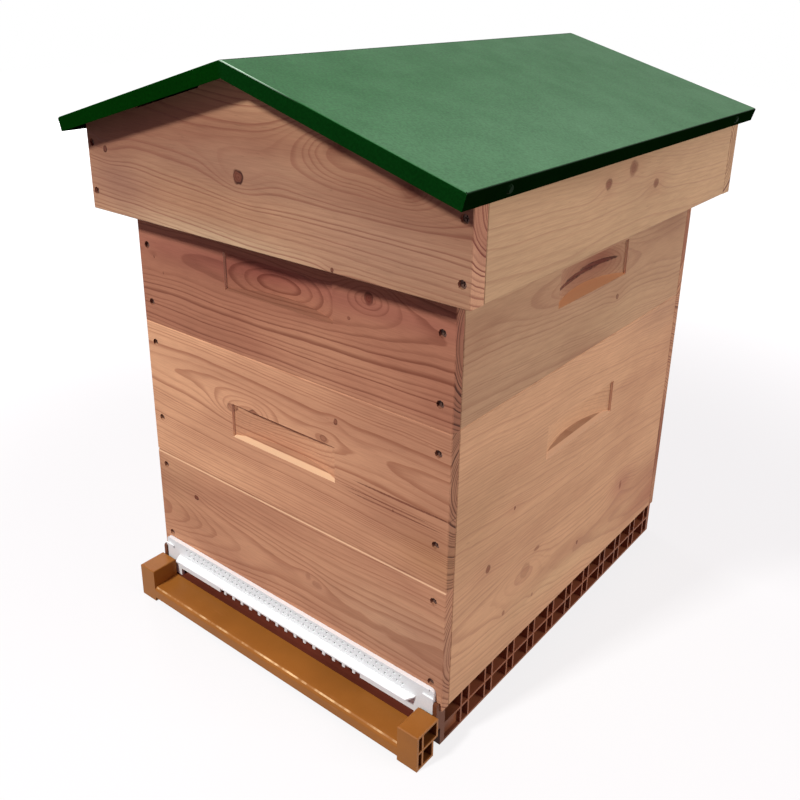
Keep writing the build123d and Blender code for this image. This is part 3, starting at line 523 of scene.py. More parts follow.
def board_wood(name, grain, pith, tilt, ring, wander, seed, pink, heart=0.0, shade=1.0, lines=0.6, knots=(),
               tints=(), pale=None, ink=None, cut_highlight=None, end=(0.9, 0.4), turn=1.0, sill=0.6, lip=0.0,
               top=1.0, wall=0.0, flush=0.0, fall=0.0, cross=0.0):
    """Planed softwood board. The grain runs along X or Y. pith is the trunk's axis as two lengths, its
    place across the board's thickness and its height. tilt is how the pith leans to each, up to the place
    turn along the grain. ring is the width of the growth rings, of the usual one, and wander how far they
    stray. pink is how pink the wood is, and heart the radius of the pink wood round the pith. shade is the
    board's brightness, and lines how dark its grain lines are. pale, ink and fresh are its own colours of
    early wood, of grain lines and of the painted highlight on faces that look up. end is the end grain's
    brightness and how dark its rings are. sill is how strongly that painted highlight covers the faces
    that look up, from the lip's distance outwards and under the height top; behind the lip they get
    painted shade. wall is the side to which the end walls of hand-holds look that are painted pale as if
    lit. flush is how much pinker the wood grows along the grain, and fall how much darker its far end is.
    Further than cross to the front and the rear, the grain of a rim runs along X."""
    wood = bpy.context.scene.hive_wood
    material, tree, coords, output = new_material(name)
    quarter = (0.0, 0.0, 0.0) if grain == "X" else (0.0, 0.0, -math.pi / 2)
    turned = mapped(tree, coords["Object"], Rotation=quarter)
    normal = mapped(tree, coords["Normal"], Rotation=quarter)
    if cross:
        ahead = ramp(tree, absolute(tree, split(tree, coords["Object"])[1]), cross - SHARP_EDGE, cross)
        turned = mix(tree, ahead, turned, coords["Object"])
        normal = mix(tree, ahead, normal, coords["Normal"])
    shift, core, rim, halo = 0.0, 0.0, 0.0, 0.0
    for knot in knots:
        mark = use(tree, "Knot", Vector=turned, Along=knot.along, Across=knot.height, Radius=knot.radius,
                   Stretch=knot.stretch, Dark=knot.dark, Reach=knot.reach, Push=knot.push, Soft=knot.soft,
                   Long=knot.swirl)
        shift = maths(tree, "ADD", shift, mark["Shift"])
        core = maths(tree, "MAXIMUM", core, mark["Core"])
        rim = maths(tree, "MAXIMUM", rim, mark["Rim"])
        halo = maths(tree, "MAXIMUM", halo, mark["Halo"])
    local = mapped(tree, turned, Location=(0.0, -pith[0], -pith[1]))
    rings = use(tree, "Growth rings", Vector=local, Tilt_Y=tilt[0], Tilt_Z=tilt[1], Ring=wood.ring * ring,
                Wander=wander, Seed=seed, Shift=shift, Turn=turn)
    late, tone, fibre = rings["Late"], rings["Tone"], rings["Fibre"]
    cut = use(tree, "Cut face", Normal=normal, Vector=turned, Lip=lip, Top=top, Side=wall)
    along = split(tree, turned)[0]
    inner = ramp(tree, rings["Radius"], heart + 0.014, heart - 0.014)
    warmth = maths(tree, "MULTIPLY_ADD", along, flush, pink)
    warmth = maths(tree, "MULTIPLY_ADD", centred(tree, tone), 1.3, warmth)
    warmth = maths(tree, "MULTIPLY_ADD", inner, 0.8, warmth, clamp=True)
    colour = mix(tree, warmth, opaque(pale or wood.early), opaque(wood.heart))
    weight = maths(tree, "MULTIPLY_ADD", cut["End"], 0.5, lines)
    colour = mix(tree, maths(tree, "MULTIPLY", late, weight, clamp=True), colour, opaque(ink or wood.late))
    if knots:
        colour = mix(tree, times(tree, halo, 0.30), colour, opaque(wood.heart))
        colour = mix(tree, core, colour, opaque(wood.knot))
        colour = mix(tree, times(tree, rim, 0.9), colour, opaque(wood.bark))
    ends = maths(tree, "SUBTRACT", maths(tree, "MULTIPLY_ADD", late, -end[1], end[0]), shade)
    # The ledge behind a hand-hold's lip is made darker: painted shade
    level = times(tree, ramp(tree, fibre, 0.25, 0.75, 0.92, 1.07),
                  maths(tree, "MULTIPLY_ADD", cut["End"], ends, shade), fade(tree, inner, 0.09),
                  ramp(tree, tone, 0.3, 0.7, 1.06, 0.94), fade(tree, rings["Pores"], 0.14),
                  fade(tree, cut["Ledge"], 0.26), ramp(tree, along, -0.02, 0.22, 1.0, 1.0 - fall))
    colour = shaded(tree, colour, level)
    for tint in tints:
        colour = use(tree, "Tint", Vector=turned, Colour=colour, Tint=opaque(tint.colour), Along=tint.along,
                     Across=tint.height, Reach=tint.reach, Long=tint.longer)["Colour"]
    # Painted highlight on the faces that look up: hand-hold sills and bevels
    colour = mix(tree, times(tree, cut["Sill"], sill), colour, opaque(cut_highlight or wood.cut_highlight))
    # Painted light: the end walls of hand-holds that look to the wall side are paled as if lit
    if wall:
        colour = mix(tree, times(tree, cut["Wall"], 0.95), colour, PAINTED_END_WALL_LIGHT)
    height = maths(tree, "ADD", times(tree, late, 0.5), times(tree, fibre, 0.5))
    principled(tree, output, Base_Color=colour, Roughness=ramp(tree, late, 0.0, 1.0, 0.68, 0.55),
               Specular_IOR_Level=0.10, Normal=relief(tree, height, 0.00020, 0.5))
    return material


def give(material, *nodes):
    """Puts one material on CAD pieces."""
    for node in nodes:
        mesh = NODES[node].data
        mesh.materials.clear()
        mesh.materials.append(material)


def moulded(name, colour, rough, cloud, scuff=0.0, gloss=0.25, coat=0.0, nose=None, cell_shade=0.0, crown=1.0,
            front=1.0):
    """Moulded plastic with soft clouds, a fine skin and a few scuffs. Under the height nose, the bend that
    looks up and to the front carries a painted highlight, broken in places. hollow is how strongly painted
    shade darkens the end blocks' cells, crown how much paler painted light from above makes the faces that
    look up, and front how bright the floor's front end is."""
    material, tree, coords, output = new_material(name)
    skin = use(tree, "Skin", Vector=coords["Object"], Cloud=14.0, Grain=900.0)
    clouds, speckle = skin["Clouds"], skin["Speckle"]
    faces = split(tree, coords["Normal"])
    place = split(tree, coords["Object"])
    # Painted light: faces that look up are made paler by crown
    level = times(tree, ramp(tree, clouds, 0.2, 0.8, 1.0 - cloud, 1.0 + cloud),
                  ramp(tree, speckle, 0.2, 0.8, 0.97, 1.03), ramp(tree, faces[2], 0.3, 0.8, 1.0, crown),
                  ramp(tree, place[1], *FLOOR_FRONT, 1.0, front))
    worn = [min(1.0, channel * 1.7 + 0.05) for channel in colour]
    base = mix(tree, times(tree, skin["Scuffs"], scuff), opaque(colour), opaque(worn))
    if cell_shade:
        # Painted shade in the open cells of the end blocks
        beside = absolute(tree, place[0])
        inside = times(tree, ramp(tree, beside, *CELL_OUTER), ramp(tree, beside, *CELL_INNER),
                       ramp(tree, place[1], *CELL_FRONT), ramp(tree, place[2], *CELL_TOP))
        base = mix(tree, times(tree, inside, cell_shade), base, PAINTED_CELL_SHADE)
    if nose:
        # Painted highlight along the nose, broken by a stretched noise
        highlight_breaks = streaks(tree, coords["Object"], (34.0, 1.0, 1.0), 3.0, 0.7)
        bend = times(tree, ramp(tree, faces[2], 0.72, 0.78), ramp(tree, faces[2], 0.87, 0.82),
                     ramp(tree, faces[1], -0.3, -0.5), ramp(tree, place[2], nose, nose - NOSE_EDGE),
                     ramp(tree, highlight_breaks, 0.42, 0.66, 0.06, 0.85))
        base = mix(tree, bend, base, NOSE_HIGHLIGHT)
    principled(tree, output, Base_Color=shaded(tree, base, level),
               Roughness=ramp(tree, clouds, 0.2, 0.8, rough - 0.06, rough + 0.08), Specular_IOR_Level=gloss,
               Coat_Weight=coat, Coat_Roughness=0.12, Normal=relief(tree, speckle, 0.00005, 0.6))
    return material


def roof_paint():
    """Satin paint on folded sheet. The slopes carry a clouded coat and grow lighter and greyer towards the
    eaves and the front, the folds are darker, the eaves' folds most of all, a painted dark line of shade
    runs along the ridge, and a painted highlight lies on the front bend beside the ridge."""
    finish = bpy.context.scene.hive_finishes
    material, tree, coords, output = new_material("green_roof_paint")
    skin = use(tree, "Skin", Vector=coords["Object"], Cloud=24.0, Grain=420.0)
    clouds, speckle = skin["Clouds"], skin["Speckle"]
    specks = ramp(tree, noise(tree, coords["Object"], 210.0, 1.0), 0.70, 0.78)
    faces = split(tree, coords["Normal"])
    across, along, _ = split(tree, coords["Object"])
    beside = absolute(tree, across)
    towards_eaves = times(tree, ramp(tree, beside, 0.04, 0.25), ramp(tree, along, 0.22, -0.12, 0.30, 1.0))
    slope = mix(tree, towards_eaves, opaque(finish.green), opaque(toned(finish.green, EAVE_SLOPE)))
    fold = mix(tree, ramp(tree, across, -0.004, 0.004), opaque(finish.fold_green),
               opaque(toned(finish.fold_green, RIGHT_FOLD)))
    fold = mix(tree, ramp(tree, absolute(tree, faces[0]), 0.60, 0.85), fold,
               opaque(toned(finish.fold_green, EAVE_FOLD)))
    # Painted shade: along the ridge the paint takes the dark fold colour and loses its coat, as a thin dark
    # line
    ridge = ramp(tree, beside, 0.0005, 0.0026)
    colour = mix(tree, times(tree, ramp(tree, faces[2], 0.60, 0.90), ridge), fold, slope)
    # Painted highlight: a pale band on the front bend right of the ridge, fading within a tenth of a metre;
    # the paint's unevenness and coat leave the bend alone
    front = times(tree, ramp(tree, faces[1], -0.25, -0.45), ramp(tree, faces[2], 0.20, 0.40))
    shine = times(tree, ramp(tree, across, -0.002, 0.002), ramp(tree, across, 0.10, 0.01),
                  ramp(tree, faces[2], 0.90, 0.80), ramp(tree, faces[2], 0.42, 0.58))
    colour = mix(tree, times(tree, front, shine), colour, PAINTED_BEND_HIGHLIGHT)
    uneven = times(tree, ramp(tree, clouds, 0.25, 0.75, 0.94, 1.06),
                   ramp(tree, speckle, 0.25, 0.75, 0.84, 1.16), fade(tree, specks, 0.30))
    level = mix(tree, front, alike(tree, uneven), WHITE)
    coat = times(tree, ramp(tree, faces[2], 0.15, 0.50), ramp(tree, clouds, 0.25, 0.75, 0.31, 0.37), ridge,
                 without(tree, front))
    principled(tree, output, Base_Color=mix(tree, 1.0, colour, level, "MULTIPLY"), Roughness=0.5,
               Specular_IOR_Level=0.0, Coat_Weight=coat, Coat_Roughness=0.30, Coat_IOR=1.5,
               Normal=relief(tree, speckle, 0.00004, 0.4))
    return material


def plated(name, colour, rough, shine):
    """Plated steel with soft dull patches."""
    material, tree, coords, output = new_material(name)
    clouds = use(tree, "Skin", Vector=coords["Object"], Cloud=160.0, Grain=2400.0)["Clouds"]
    colour = shaded(tree, opaque(colour), ramp(tree, clouds, 0.2, 0.8, 0.72, 1.12))
    principled(tree, output, Base_Color=colour, Metallic=shine,
               Roughness=ramp(tree, clouds, 0.2, 0.8, rough, rough + 0.2))
    return material


def wax_sheet():
    """Beeswax foundation with pressed cells."""
    wax = bpy.context.scene.hive_finishes.wax
    material, tree, coords, output = new_material("wax_sheet")
    cells = use(tree, "Wax cells", Vector=coords["Object"])
    clouds = use(tree, "Skin", Vector=coords["Object"], Cloud=12.0, Grain=700.0)["Clouds"]
    level = times(tree, ramp(tree, clouds, 0.2, 0.8, 0.86, 1.10),
                  maths(tree, "MULTIPLY_ADD", cells["Wall"], 0.22, 0.90))
    principled(tree, output, Base_Color=shaded(tree, opaque(wax), level), Roughness=0.42,
               Specular_IOR_Level=0.4, Normal=relief(tree, cells["Pit"], 0.0012, 0.8))
    return material


def grid_faces(rows, columns, first=0):
    """Corner numbers of a grid's quads, row by row."""
    index = first + np.arange(rows * columns).reshape(rows, columns)
    return np.stack([index[:-1, :-1], index[:-1, 1:], index[1:, 1:], index[1:, :-1]], axis=-1).reshape(-1, 4)


def grids_mesh(name, *grids):
    """Mesh of grids of points with the shape (rows, columns, 3). Points that coincide are joined."""
    starts = np.cumsum([0] + [grid.shape[0] * grid.shape[1] for grid in grids])
    faces = np.concatenate([grid_faces(*grid.shape[:2], start) for grid, start in zip(grids, starts)])
    points = np.concatenate([grid.reshape(-1, 3) for grid in grids])
    _, kept, joined = np.unique(np.round(points, 6), axis=0, return_index=True, return_inverse=True)
    mesh = bpy.data.meshes.new(name)
    mesh.from_pydata(points[kept].tolist(), [], joined.reshape(-1)[faces].tolist())
    return mesh


BEND_POINTS = 5
SHEET_COLUMNS = 49
SHEET_ROWS = 25
FOLD_ROWS = 3
RIDGE_CROWDING = 1.8
RIDGE_SOFTNESS = 0.005


def bent(a, corner, b):
    """Points of a bend: the parabola that starts at a, ends at b and has its tangents' crossing at the
    corner."""
    t = np.linspace(0.0, 1.0, BEND_POINTS)[:, None]
    return (1 - t) ** 2 * np.asarray(a) + 2 * t * (1 - t) * np.asarray(corner) + t ** 2 * np.asarray(b)


def folded_sheet(half, end, ridge, sizes):
    """Grids of a folded roof sheet. Across, a point's height falls from the ridge with the distance from
    it. Along, the path runs up the front fold, round a bend, over the slope, round a bend and down the rear
    fold. Strips round the eaves and down their folds, square to the slope, join on."""
    rise, fold, bend = sizes.roof_rise, sizes.sheet_fold, sizes.sheet_bend
    run = math.hypot(half, rise)
    corner = np.array([half, ridge - rise])
    down = np.array([-rise, -half]) / run
    lip = corner + fold * down
    last = 1.0 - bend / run
    part = np.linspace(-1.0, 1.0, SHEET_COLUMNS)
    part = np.sign(part) * np.abs(part) ** RIDGE_CROWDING * last
    front = np.concatenate([np.stack([np.full(FOLD_ROWS, -end), np.linspace(fold, bend, FOLD_ROWS)], axis=1),
                            bent((-end, bend), (-end, 0.0), (bend - end, 0.0))[1:]])
    flat = np.linspace(bend - end, end - bend, SHEET_ROWS)
    rows = np.concatenate([front, np.stack([flat, 0.0 * flat], axis=1)[1:-1], front[::-1] * (-1.0, 1.0)])
    y, drop = rows[:, :1], rows[:, 1:]
    s = part * (1.0 + (1.0 / last - 1.0) * np.minimum(drop / bend, 1.0))
    away = np.sqrt(s ** 2 + RIDGE_SOFTNESS ** 2 * (1.0 - np.abs(s)))
    upper = np.stack([s * half, ridge - away * rise], axis=-1)
    foot = ridge - fold * run / half
    lower = np.stack([s * lip[0], foot + np.abs(s) * (lip[1] - foot)], axis=-1)
    place = upper + (drop / fold)[..., None] * (lower - upper)
    slopes = np.stack([place[..., 0], np.broadcast_to(y, s.shape), place[..., 1]], axis=-1)
    start = (last * half, ridge - math.hypot(last, RIDGE_SOFTNESS * math.sqrt(1.0 - last)) * rise)
    edge = np.concatenate([bent(start, corner, corner + bend * down), [lip]])
    reach = np.concatenate([np.linspace(end - bend, end, BEND_POINTS), [end]]) / (end - bend)
    eave = np.stack(np.broadcast_arrays(edge[:, 0], flat[:, None] * reach, edge[:, 1]), axis=-1)
    return slopes, eave, eave[:, ::-1] * (-1.0, 1.0, 1.0)


def new_piece(name, mesh, body, material, node):
    """Object of a finished mesh that rides on a body and stands for a CAD node."""
    piece = bpy.data.objects.new(name, mesh)
    bpy.context.scene.collection.objects.link(piece)
    mesh.materials.append(material)
    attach(piece, body)
    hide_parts(node)
    return piece


HEAD_RINGS = 14
SCREW_SIDES = 49
HEAD_DEPTH = 0.0026
SHANK_RADIUS = 0.0022
SCREW_POINT = 0.005

# The cross in a screw's head, and the slope of its walls
CROSS_HALF_WIDTH = 0.00055
CROSS_WALL = 0.0003
CROSS_REACH = 0.0026
CROSS_END = 0.0006
CROSS_DEPTH = 0.0014


def screw_grids(places, head, length):
    """Countersunk screws turned about Y, one grid each. A screw is a surface of radius and depth along a
    profile, by angle, and its head is lowered inside a cross: where the smaller of the two distances from
    the cross's arms is under half an arm's width. places are (x, y, z, way), with way +1 for screws driven
    towards +Y."""
    inner = np.linspace(0.0, 1.0, HEAD_RINGS)
    radius = np.concatenate([inner * head, [SHANK_RADIUS, SHANK_RADIUS, 0.0]])
    depth = np.concatenate([0.0 * inner, [HEAD_DEPTH, length - SCREW_POINT, length]])
    angle = np.linspace(0.0, 2 * np.pi, SCREW_SIDES)
    x = radius[:, None] * np.cos(angle)
    z = radius[:, None] * np.sin(angle)
    arm = np.clip((CROSS_HALF_WIDTH - np.minimum(np.abs(x), np.abs(z))) / CROSS_WALL, 0.0, 1.0)
    cross = arm * np.clip((CROSS_REACH - np.hypot(x, z)) / CROSS_END, 0.0, 1.0)
    on_head = np.arange(len(radius))[:, None] < HEAD_RINGS
    lowered = depth[:, None] + np.where(on_head, cross * CROSS_DEPTH, 0.0)
    place = np.asarray(places)[:, None, None, :]
    way = place[..., 3]
    turned = [place[..., 0] + x * way, place[..., 1] + lowered * way, place[..., 2] + z]
    return list(np.stack(turned, axis=-1))


def corner_places(side, face, heights):
    """Screw places up both edges of the front and rear boards, from half the distance between the columns,
    the depth of the heads and their heights."""
    return [(x, way * -face, z, way) for way in (1, -1) for x in (-side, side) for z in heights]


class HIVE_OT_boxes(bpy.types.Operator):
    """Gives the brood box and the super their planed boards"""

    bl_idname = "hive.boxes"
    bl_label = "Box boards"

    def execute(self, context):
        self.brood_front()
        self.brood_rest()
        self.super_front()
        self.super_rest()
        return {"FINISHED"}

    def brood_front(self):
        """Lower and upper board of the brood box's front."""
        lower = board_wood(
            "brood_front_lower_wood", "X", pith=(-0.198, 0.1095), tilt=(-0.10, 0.0), ring=1.08,
            wander=0.0035, seed=3.1, pink=0.56, lines=0.54, turn=-0.03, end=(0.98, 0.35), lip=0.2490,
            knots=(
                Knot(-0.148, 0.146, 0.0026, 1.5, 1.0, 0.006, -0.002),
                Knot(0.034, 0.121, 0.0046, 0.8, 0.30, 0.007, -0.003, 0.6),
                Knot(0.047, 0.116, 0.0038, 1.7, 0.34, 0.006, -0.003, 0.6)),
            tints=(
                Tint(0.170, 0.112, 0.030, 2.2, (1.12, 1.30, 1.34)),
                Tint(-0.190, 0.155, 0.020, 1.5, (1.08, 1.18, 1.15)),
                Tint(-0.170, 0.110, 0.012, 3.0, (0.88, 0.85, 0.84))))
        give(lower, "brood_front_lower_board")
        upper = board_wood(
            "brood_front_upper_wood", "X", pith=(-0.205, 0.303), tilt=(0.0, 0.03), ring=0.92, wander=0.0035,
            seed=7.7, pink=0.28, shade=1.105, lines=0.68, sill=0.9, end=(0.88, 0.60), lip=0.2435, flush=0.9,
            fall=0.12, top=UNDER_BROOD_RIM, wall=1.0,
            knots=(
                Knot(0.077, 0.3217, 0.0030, 0.8, 0.75, 0.007, -0.003),
                Knot(-0.076, 0.288, 0.0045, 1.4, 0.45, 0.012, -0.010),
                Knot(-0.040, 0.291, 0.0050, 1.5, 0.55, 0.012, -0.012),
                Knot(0.060, 0.298, 0.0035, 1.3, 0.35, 0.007, -0.003),
                Knot(0.150, 0.2513, 0.0014, 0.6, 0.8, 0.004, 0.0),
                Knot(0.160, 0.2655, 0.0011, 48.0, 0.85, 0.004, 0.0, 0.3, 1.0),
                Knot(0.140, 0.2553, 0.0007, 70.0, 0.65, 0.004, 0.0, 0.3, 1.0),
                Knot(0.150, 0.2508, 0.0008, 64.0, 0.70, 0.004, 0.0, 0.3, 1.0)),
            tints=(
                Tint(0.200, 0.216, 0.020, 1.6, (0.86, 0.84, 0.77)),))
        give(upper, "brood_front_upper_board")

    def brood_rest(self):
        """Rear and sides of the brood box."""
        rear = board_wood(
            "brood_rear_wood", "X", pith=(0.195, 0.150), tilt=(0.06, 0.0), ring=1.0, wander=0.005, seed=11.3,
            pink=0.35, heart=0.08, lines=0.50, lip=0.2435,
            knots=(
                Knot(0.10, 0.250, 0.0060, 1.2, 0.9, 0.016, -0.014),
                Knot(-0.13, 0.110, 0.0045, 1.2, 0.8, 0.012, -0.008)))
        give(rear, "brood_rear_lower_board", "brood_rear_upper_board")
        right = board_wood(
            "brood_right_wood", "Y", pith=(-0.180, 0.100), tilt=(0.05, 0.10), ring=1.0, wander=0.006,
            seed=5.2, pink=-0.05, heart=0.036, shade=1.04, lines=0.34, sill=0.9, pale=(0.590, 0.350, 0.192),
            lip=0.2085, flush=0.8, top=UNDER_BROOD_RIM, wall=-1.0,
            knots=(
                Knot(-0.178, 0.1745, 0.0044, 0.9, 0.75, 0.012, -0.006, 0.4),
                Knot(-0.102, 0.130, 0.0080, 1.1, 0.30, 0.016, -0.014, 0.5),
                Knot(-0.079, 0.146, 0.0024, 2.2, 0.55, 0.006, 0.0, 0.5),
                Knot(0.020, 0.1006, 0.0024, 0.7, 0.90, 0.006, -0.002, 0.2),
                Knot(-0.133, 0.2235, 0.0020, 0.8, 0.85, 0.006, -0.002, 0.2),
                Knot(0.129, 0.128, 0.0060, 0.5, 0.60, 0.014, -0.010, 0.8),
                Knot(-0.142, 0.0987, 0.0026, 1.0, 0.55, 0.007, -0.003, 0.3),
                Knot(-0.082, 0.0865, 0.0018, 1.0, 0.50, 0.005, -0.002, 0.3)),
            tints=(
                Tint(0.200, 0.345, 0.018, 3.5, (0.76, 0.75, 0.78)),
                Tint(-0.220, 0.245, 0.035, 1.5, (0.86, 0.86, 0.84)),
                Tint(0.060, 0.086, 0.012, 10.0, (1.16, 1.30, 1.28)),
                Tint(0.132, 0.128, 0.013, 1.6, (0.84, 0.76, 0.80))))
        give(right, "brood_right_wall")
        left = board_wood(
            "brood_left_wood", "Y", pith=(0.175, 0.230), tilt=(0.05, 0.03), ring=1.0, wander=0.006,
            seed=15.9, pink=0.15, heart=0.06, lines=0.45, lip=0.2085,
            knots=(
                Knot(0.05, 0.150, 0.0060, 1.2, 0.8, 0.016, -0.014),
                Knot(-0.12, 0.260, 0.0045, 1.0, 0.7, 0.012, -0.010)))
        give(left, "brood_left_wall")

    def super_front(self):
        """Front of the super, with a pale eye of grain in its hand-hold."""
        front = board_wood(
            "super_front_wood", "X", pith=(-0.205, 0.4400), tilt=(-0.02, 0.0), ring=1.15, wander=0.0035,
            seed=2.3, pink=0.16, heart=0.10, shade=1.04, lines=0.78, sill=0.0, end=(0.85, 0.5), lip=0.2510,
            ink=(0.165, 0.046, 0.024), wall=1.0,
            knots=(
                Knot(-0.014, 0.4385, 0.0010, 1.0, 0.0, 0.0140, -0.0070, 0.0, 4.2),
                Knot(0.119, 0.4590, 0.0060, 0.8, 1.0, 0.011, -0.024, 0.4),
                Knot(0.095, 0.434, 0.0016, 1.2, 0.60, 0.005, -0.001),
                Knot(-0.190, 0.435, 0.0014, 0.7, 0.70, 0.005, -0.001),
                Knot(-0.176, 0.419, 0.0015, 0.6, 0.60, 0.005, -0.001)),
            tints=(
                # Painted shade of the roof's skirt: the next three patches darken its soft edge at the left,
                # its shadow along the top and the top of the hand-hold
                Tint(-0.150, 0.438, 0.012, 6.0, (0.84, 0.80, 0.82)),
                Tint(0.000, 0.452, 0.010, 30.0, (0.88, 0.76, 0.84)),
                Tint(-0.024, 0.447, 0.011, 4.5, (0.83, 0.69, 0.72)),
                Tint(-0.160, 0.396, 0.014, 3.0, (1.08, 1.12, 1.12))))
        give(front, "super_front_board")

    def super_rest(self):
        """Rear and sides of the super."""
        rear = board_wood(
            "super_rear_wood", "X", pith=(0.200, 0.430), tilt=(0.03, 0.0), ring=1.0, wander=0.005, seed=9.4,
            pink=0.35, heart=0.06, shade=0.95, lines=0.55, lip=0.2435,
            knots=(
                Knot(-0.09, 0.400, 0.0050, 1.2, 0.9, 0.014, -0.012),))
        give(rear, "super_rear_board")
        right = board_wood(
            "super_right_wood", "Y", pith=(-0.170, 0.442), tilt=(0.0, 0.05), ring=1.0, wander=0.005,
            seed=6.6, pink=0.0, heart=0.036, shade=0.775, lines=0.42, sill=0.85, pale=(0.590, 0.368, 0.208),
            lip=0.1990, cut_highlight=(0.62, 0.30, 0.135), wall=-1.0,
            knots=(
                Knot(-0.040, 0.4388, 0.0019, 16.0, 1.0, 0.013, -0.006, 0.2, 4.0),
                Knot(-0.008, 0.4412, 0.0022, 15.0, 1.0, 0.013, -0.004, 0.2, 4.0),
                Knot(0.028, 0.4444, 0.0027, 12.0, 1.0, 0.013, -0.012, 0.2, 3.0),
                Knot(0.060, 0.400, 0.0030, 1.0, 0.60, 0.008, -0.004)),
            tints=(
                Tint(0.200, 0.457, 0.015, 3.0, (0.74, 0.67, 0.68)),
                Tint(-0.215, 0.437, 0.020, 1.5, (0.90, 0.85, 0.85)),
                Tint(0.040, 0.385, 0.022, 4.0, (1.06, 1.10, 1.08)),
                Tint(0.035, 0.452, 0.010, 2.2, (0.78, 0.62, 0.64))))
        give(right, "super_right_wall")
        left = board_wood(
            "super_left_wood", "Y", pith=(0.170, 0.470), tilt=(0.02, 0.05), ring=1.0, wander=0.005,
            seed=13.3, pink=0.20, heart=0.06, shade=0.98, lines=0.50, lip=0.2085,
            knots=(
                Knot(-0.10, 0.400, 0.0050, 1.2, 0.8, 0.014, -0.012),))
        give(left, "super_left_wall")


class HIVE_OT_roof_timber(bpy.types.Operator):
    """Gives the roof's gables, sides and battens their planed boards"""

    bl_idname = "hive.roof_timber"
    bl_label = "Roof timber"

    def execute(self, context):
        self.gables()
        self.sides()
        self.battens()
        return {"FINISHED"}

    def gables(self):
        """Front and rear board of the roof's skirt."""
        front = board_wood(
            "roof_gable_wood", "X", pith=(-0.240, 0.578), tilt=(0.0, 0.05), ring=1.12, wander=0.0040,
            seed=4.4, pink=0.10, heart=0.052, shade=0.725, lines=0.62, end=(1.13, 0.28), flush=-0.9,
            ink=(0.255, 0.074, 0.044),
            knots=(
                Knot(-0.012, 0.5535, 0.0066, 0.95, 1.0, 0.014, -0.010),
                Knot(-0.216, 0.5537, 0.0036, 0.8, 0.95, 0.014, -0.007),
                Knot(0.114, 0.597, 0.0090, 1.7, 0.80, 0.026, -0.030, 1.0),
                Knot(0.188, 0.573, 0.0090, 1.3, 0.85, 0.018, -0.021, 1.0),
                Knot(0.103, 0.489, 0.0022, 0.8, 0.90, 0.006, -0.003)),
            tints=(
                Tint(-0.065, 0.482, 0.013, 7.0, (1.40, 1.85, 1.98)),
                Tint(-0.040, 0.562, 0.017, 5.3, (1.26, 1.52, 1.58)),
                Tint(0.160, 0.520, 0.030, 3.0, (0.85, 0.86, 0.94)),
                Tint(-0.200, 0.522, 0.022, 2.0, (0.80, 0.79, 0.89))))
        give(front, "roof_front_gable")
        rear = board_wood(
            "roof_rear_gable_wood", "X", pith=(0.240, 0.540), tilt=(0.0, 0.02), ring=1.0, wander=0.005,
            seed=8.1, pink=0.0, shade=0.90, lines=0.50, pale=PALE_ROOF_WOOD, end=(0.95, 0.5),
            knots=(
                Knot(0.08, 0.560, 0.0065, 1.1, 1.0, 0.018, -0.016),
                Knot(-0.11, 0.530, 0.0050, 1.1, 0.9, 0.014, -0.012)))
        give(rear, "roof_rear_gable")

    def sides(self):
        """Right and left board of the roof's skirt."""
        right = board_wood(
            "roof_right_wood", "Y", pith=(-0.190, 0.480), tilt=(0.0, 0.04), ring=0.85, wander=0.0035,
            seed=1.9, pink=-0.10, shade=0.88, lines=0.30, pale=PALE_ROOF_WOOD,
            knots=(
                Knot(-0.0054, 0.557, 0.0070, 1.2, 0.72, 0.014, -0.008, 0.6),
                Knot(-0.057, 0.549, 0.0050, 1.2, 0.80, 0.011, -0.006, 0.5),
                Knot(0.0525, 0.533, 0.0046, 1.2, 0.75, 0.011, -0.006, 0.6)),
            tints=(
                # Painted shadow of the sheet's eave fold along the top of the board
                Tint(-0.060, 0.568, 0.010, 16.0, (0.76, 0.72, 0.70)),))
        give(right, "roof_right_side")
        left = board_wood(
            "roof_left_wood", "Y", pith=(0.190, 0.560), tilt=(0.0, 0.04), ring=0.9, wander=0.005, seed=12.7,
            pink=0.1, heart=0.05, shade=0.96, lines=0.45,
            knots=(
                Knot(0.09, 0.530, 0.0050, 1.2, 0.8, 0.014, -0.012),))
        give(left, "roof_left_side")

    def battens(self):
        """Ridge batten along the roof and rest battens across it."""
        for name, grain, seed, node in (("roof_batten_wood", "Y", 10.2, "roof_ridge_batten"),
                                        ("rest_batten_wood", "X", 17.2, "roof_rest_battens")):
            batten = board_wood(name, grain, pith=(0.050, 0.500), tilt=(0.0, 0.03), ring=0.9, wander=0.006,
                                seed=seed, pink=0.2, shade=0.95)
            give(batten, node)


class HIVE_OT_roof_sheet(bpy.types.Operator):
    """Folds the roof sheet with round bends and paints it and its screws green"""

    bl_idname = "hive.roof_sheet"
    bl_label = "Roof sheet"

    def execute(self, context):
        sizes = context.scene.hive_sizes
        paint = roof_paint()
        dark = toned(context.scene.hive_finishes.fold_green, SHEET_SCREW)
        give(moulded("green_screw_paint", dark, rough=0.5, cloud=0.05, gloss=0.02), "sheet_screws")
        half, end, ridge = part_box("roof_sheet")[1]
        mesh = grids_mesh("folded_roof_sheet", *folded_sheet(half, end, ridge, sizes))
        sheet = new_piece("folded_roof_sheet", mesh, "roof", paint, "roof_sheet")
        wall = sheet.modifiers.new("Thickness", "SOLIDIFY")
        wall.thickness = sizes.sheet_thick
        wall.offset = -1.0
        return {"FINISHED"}


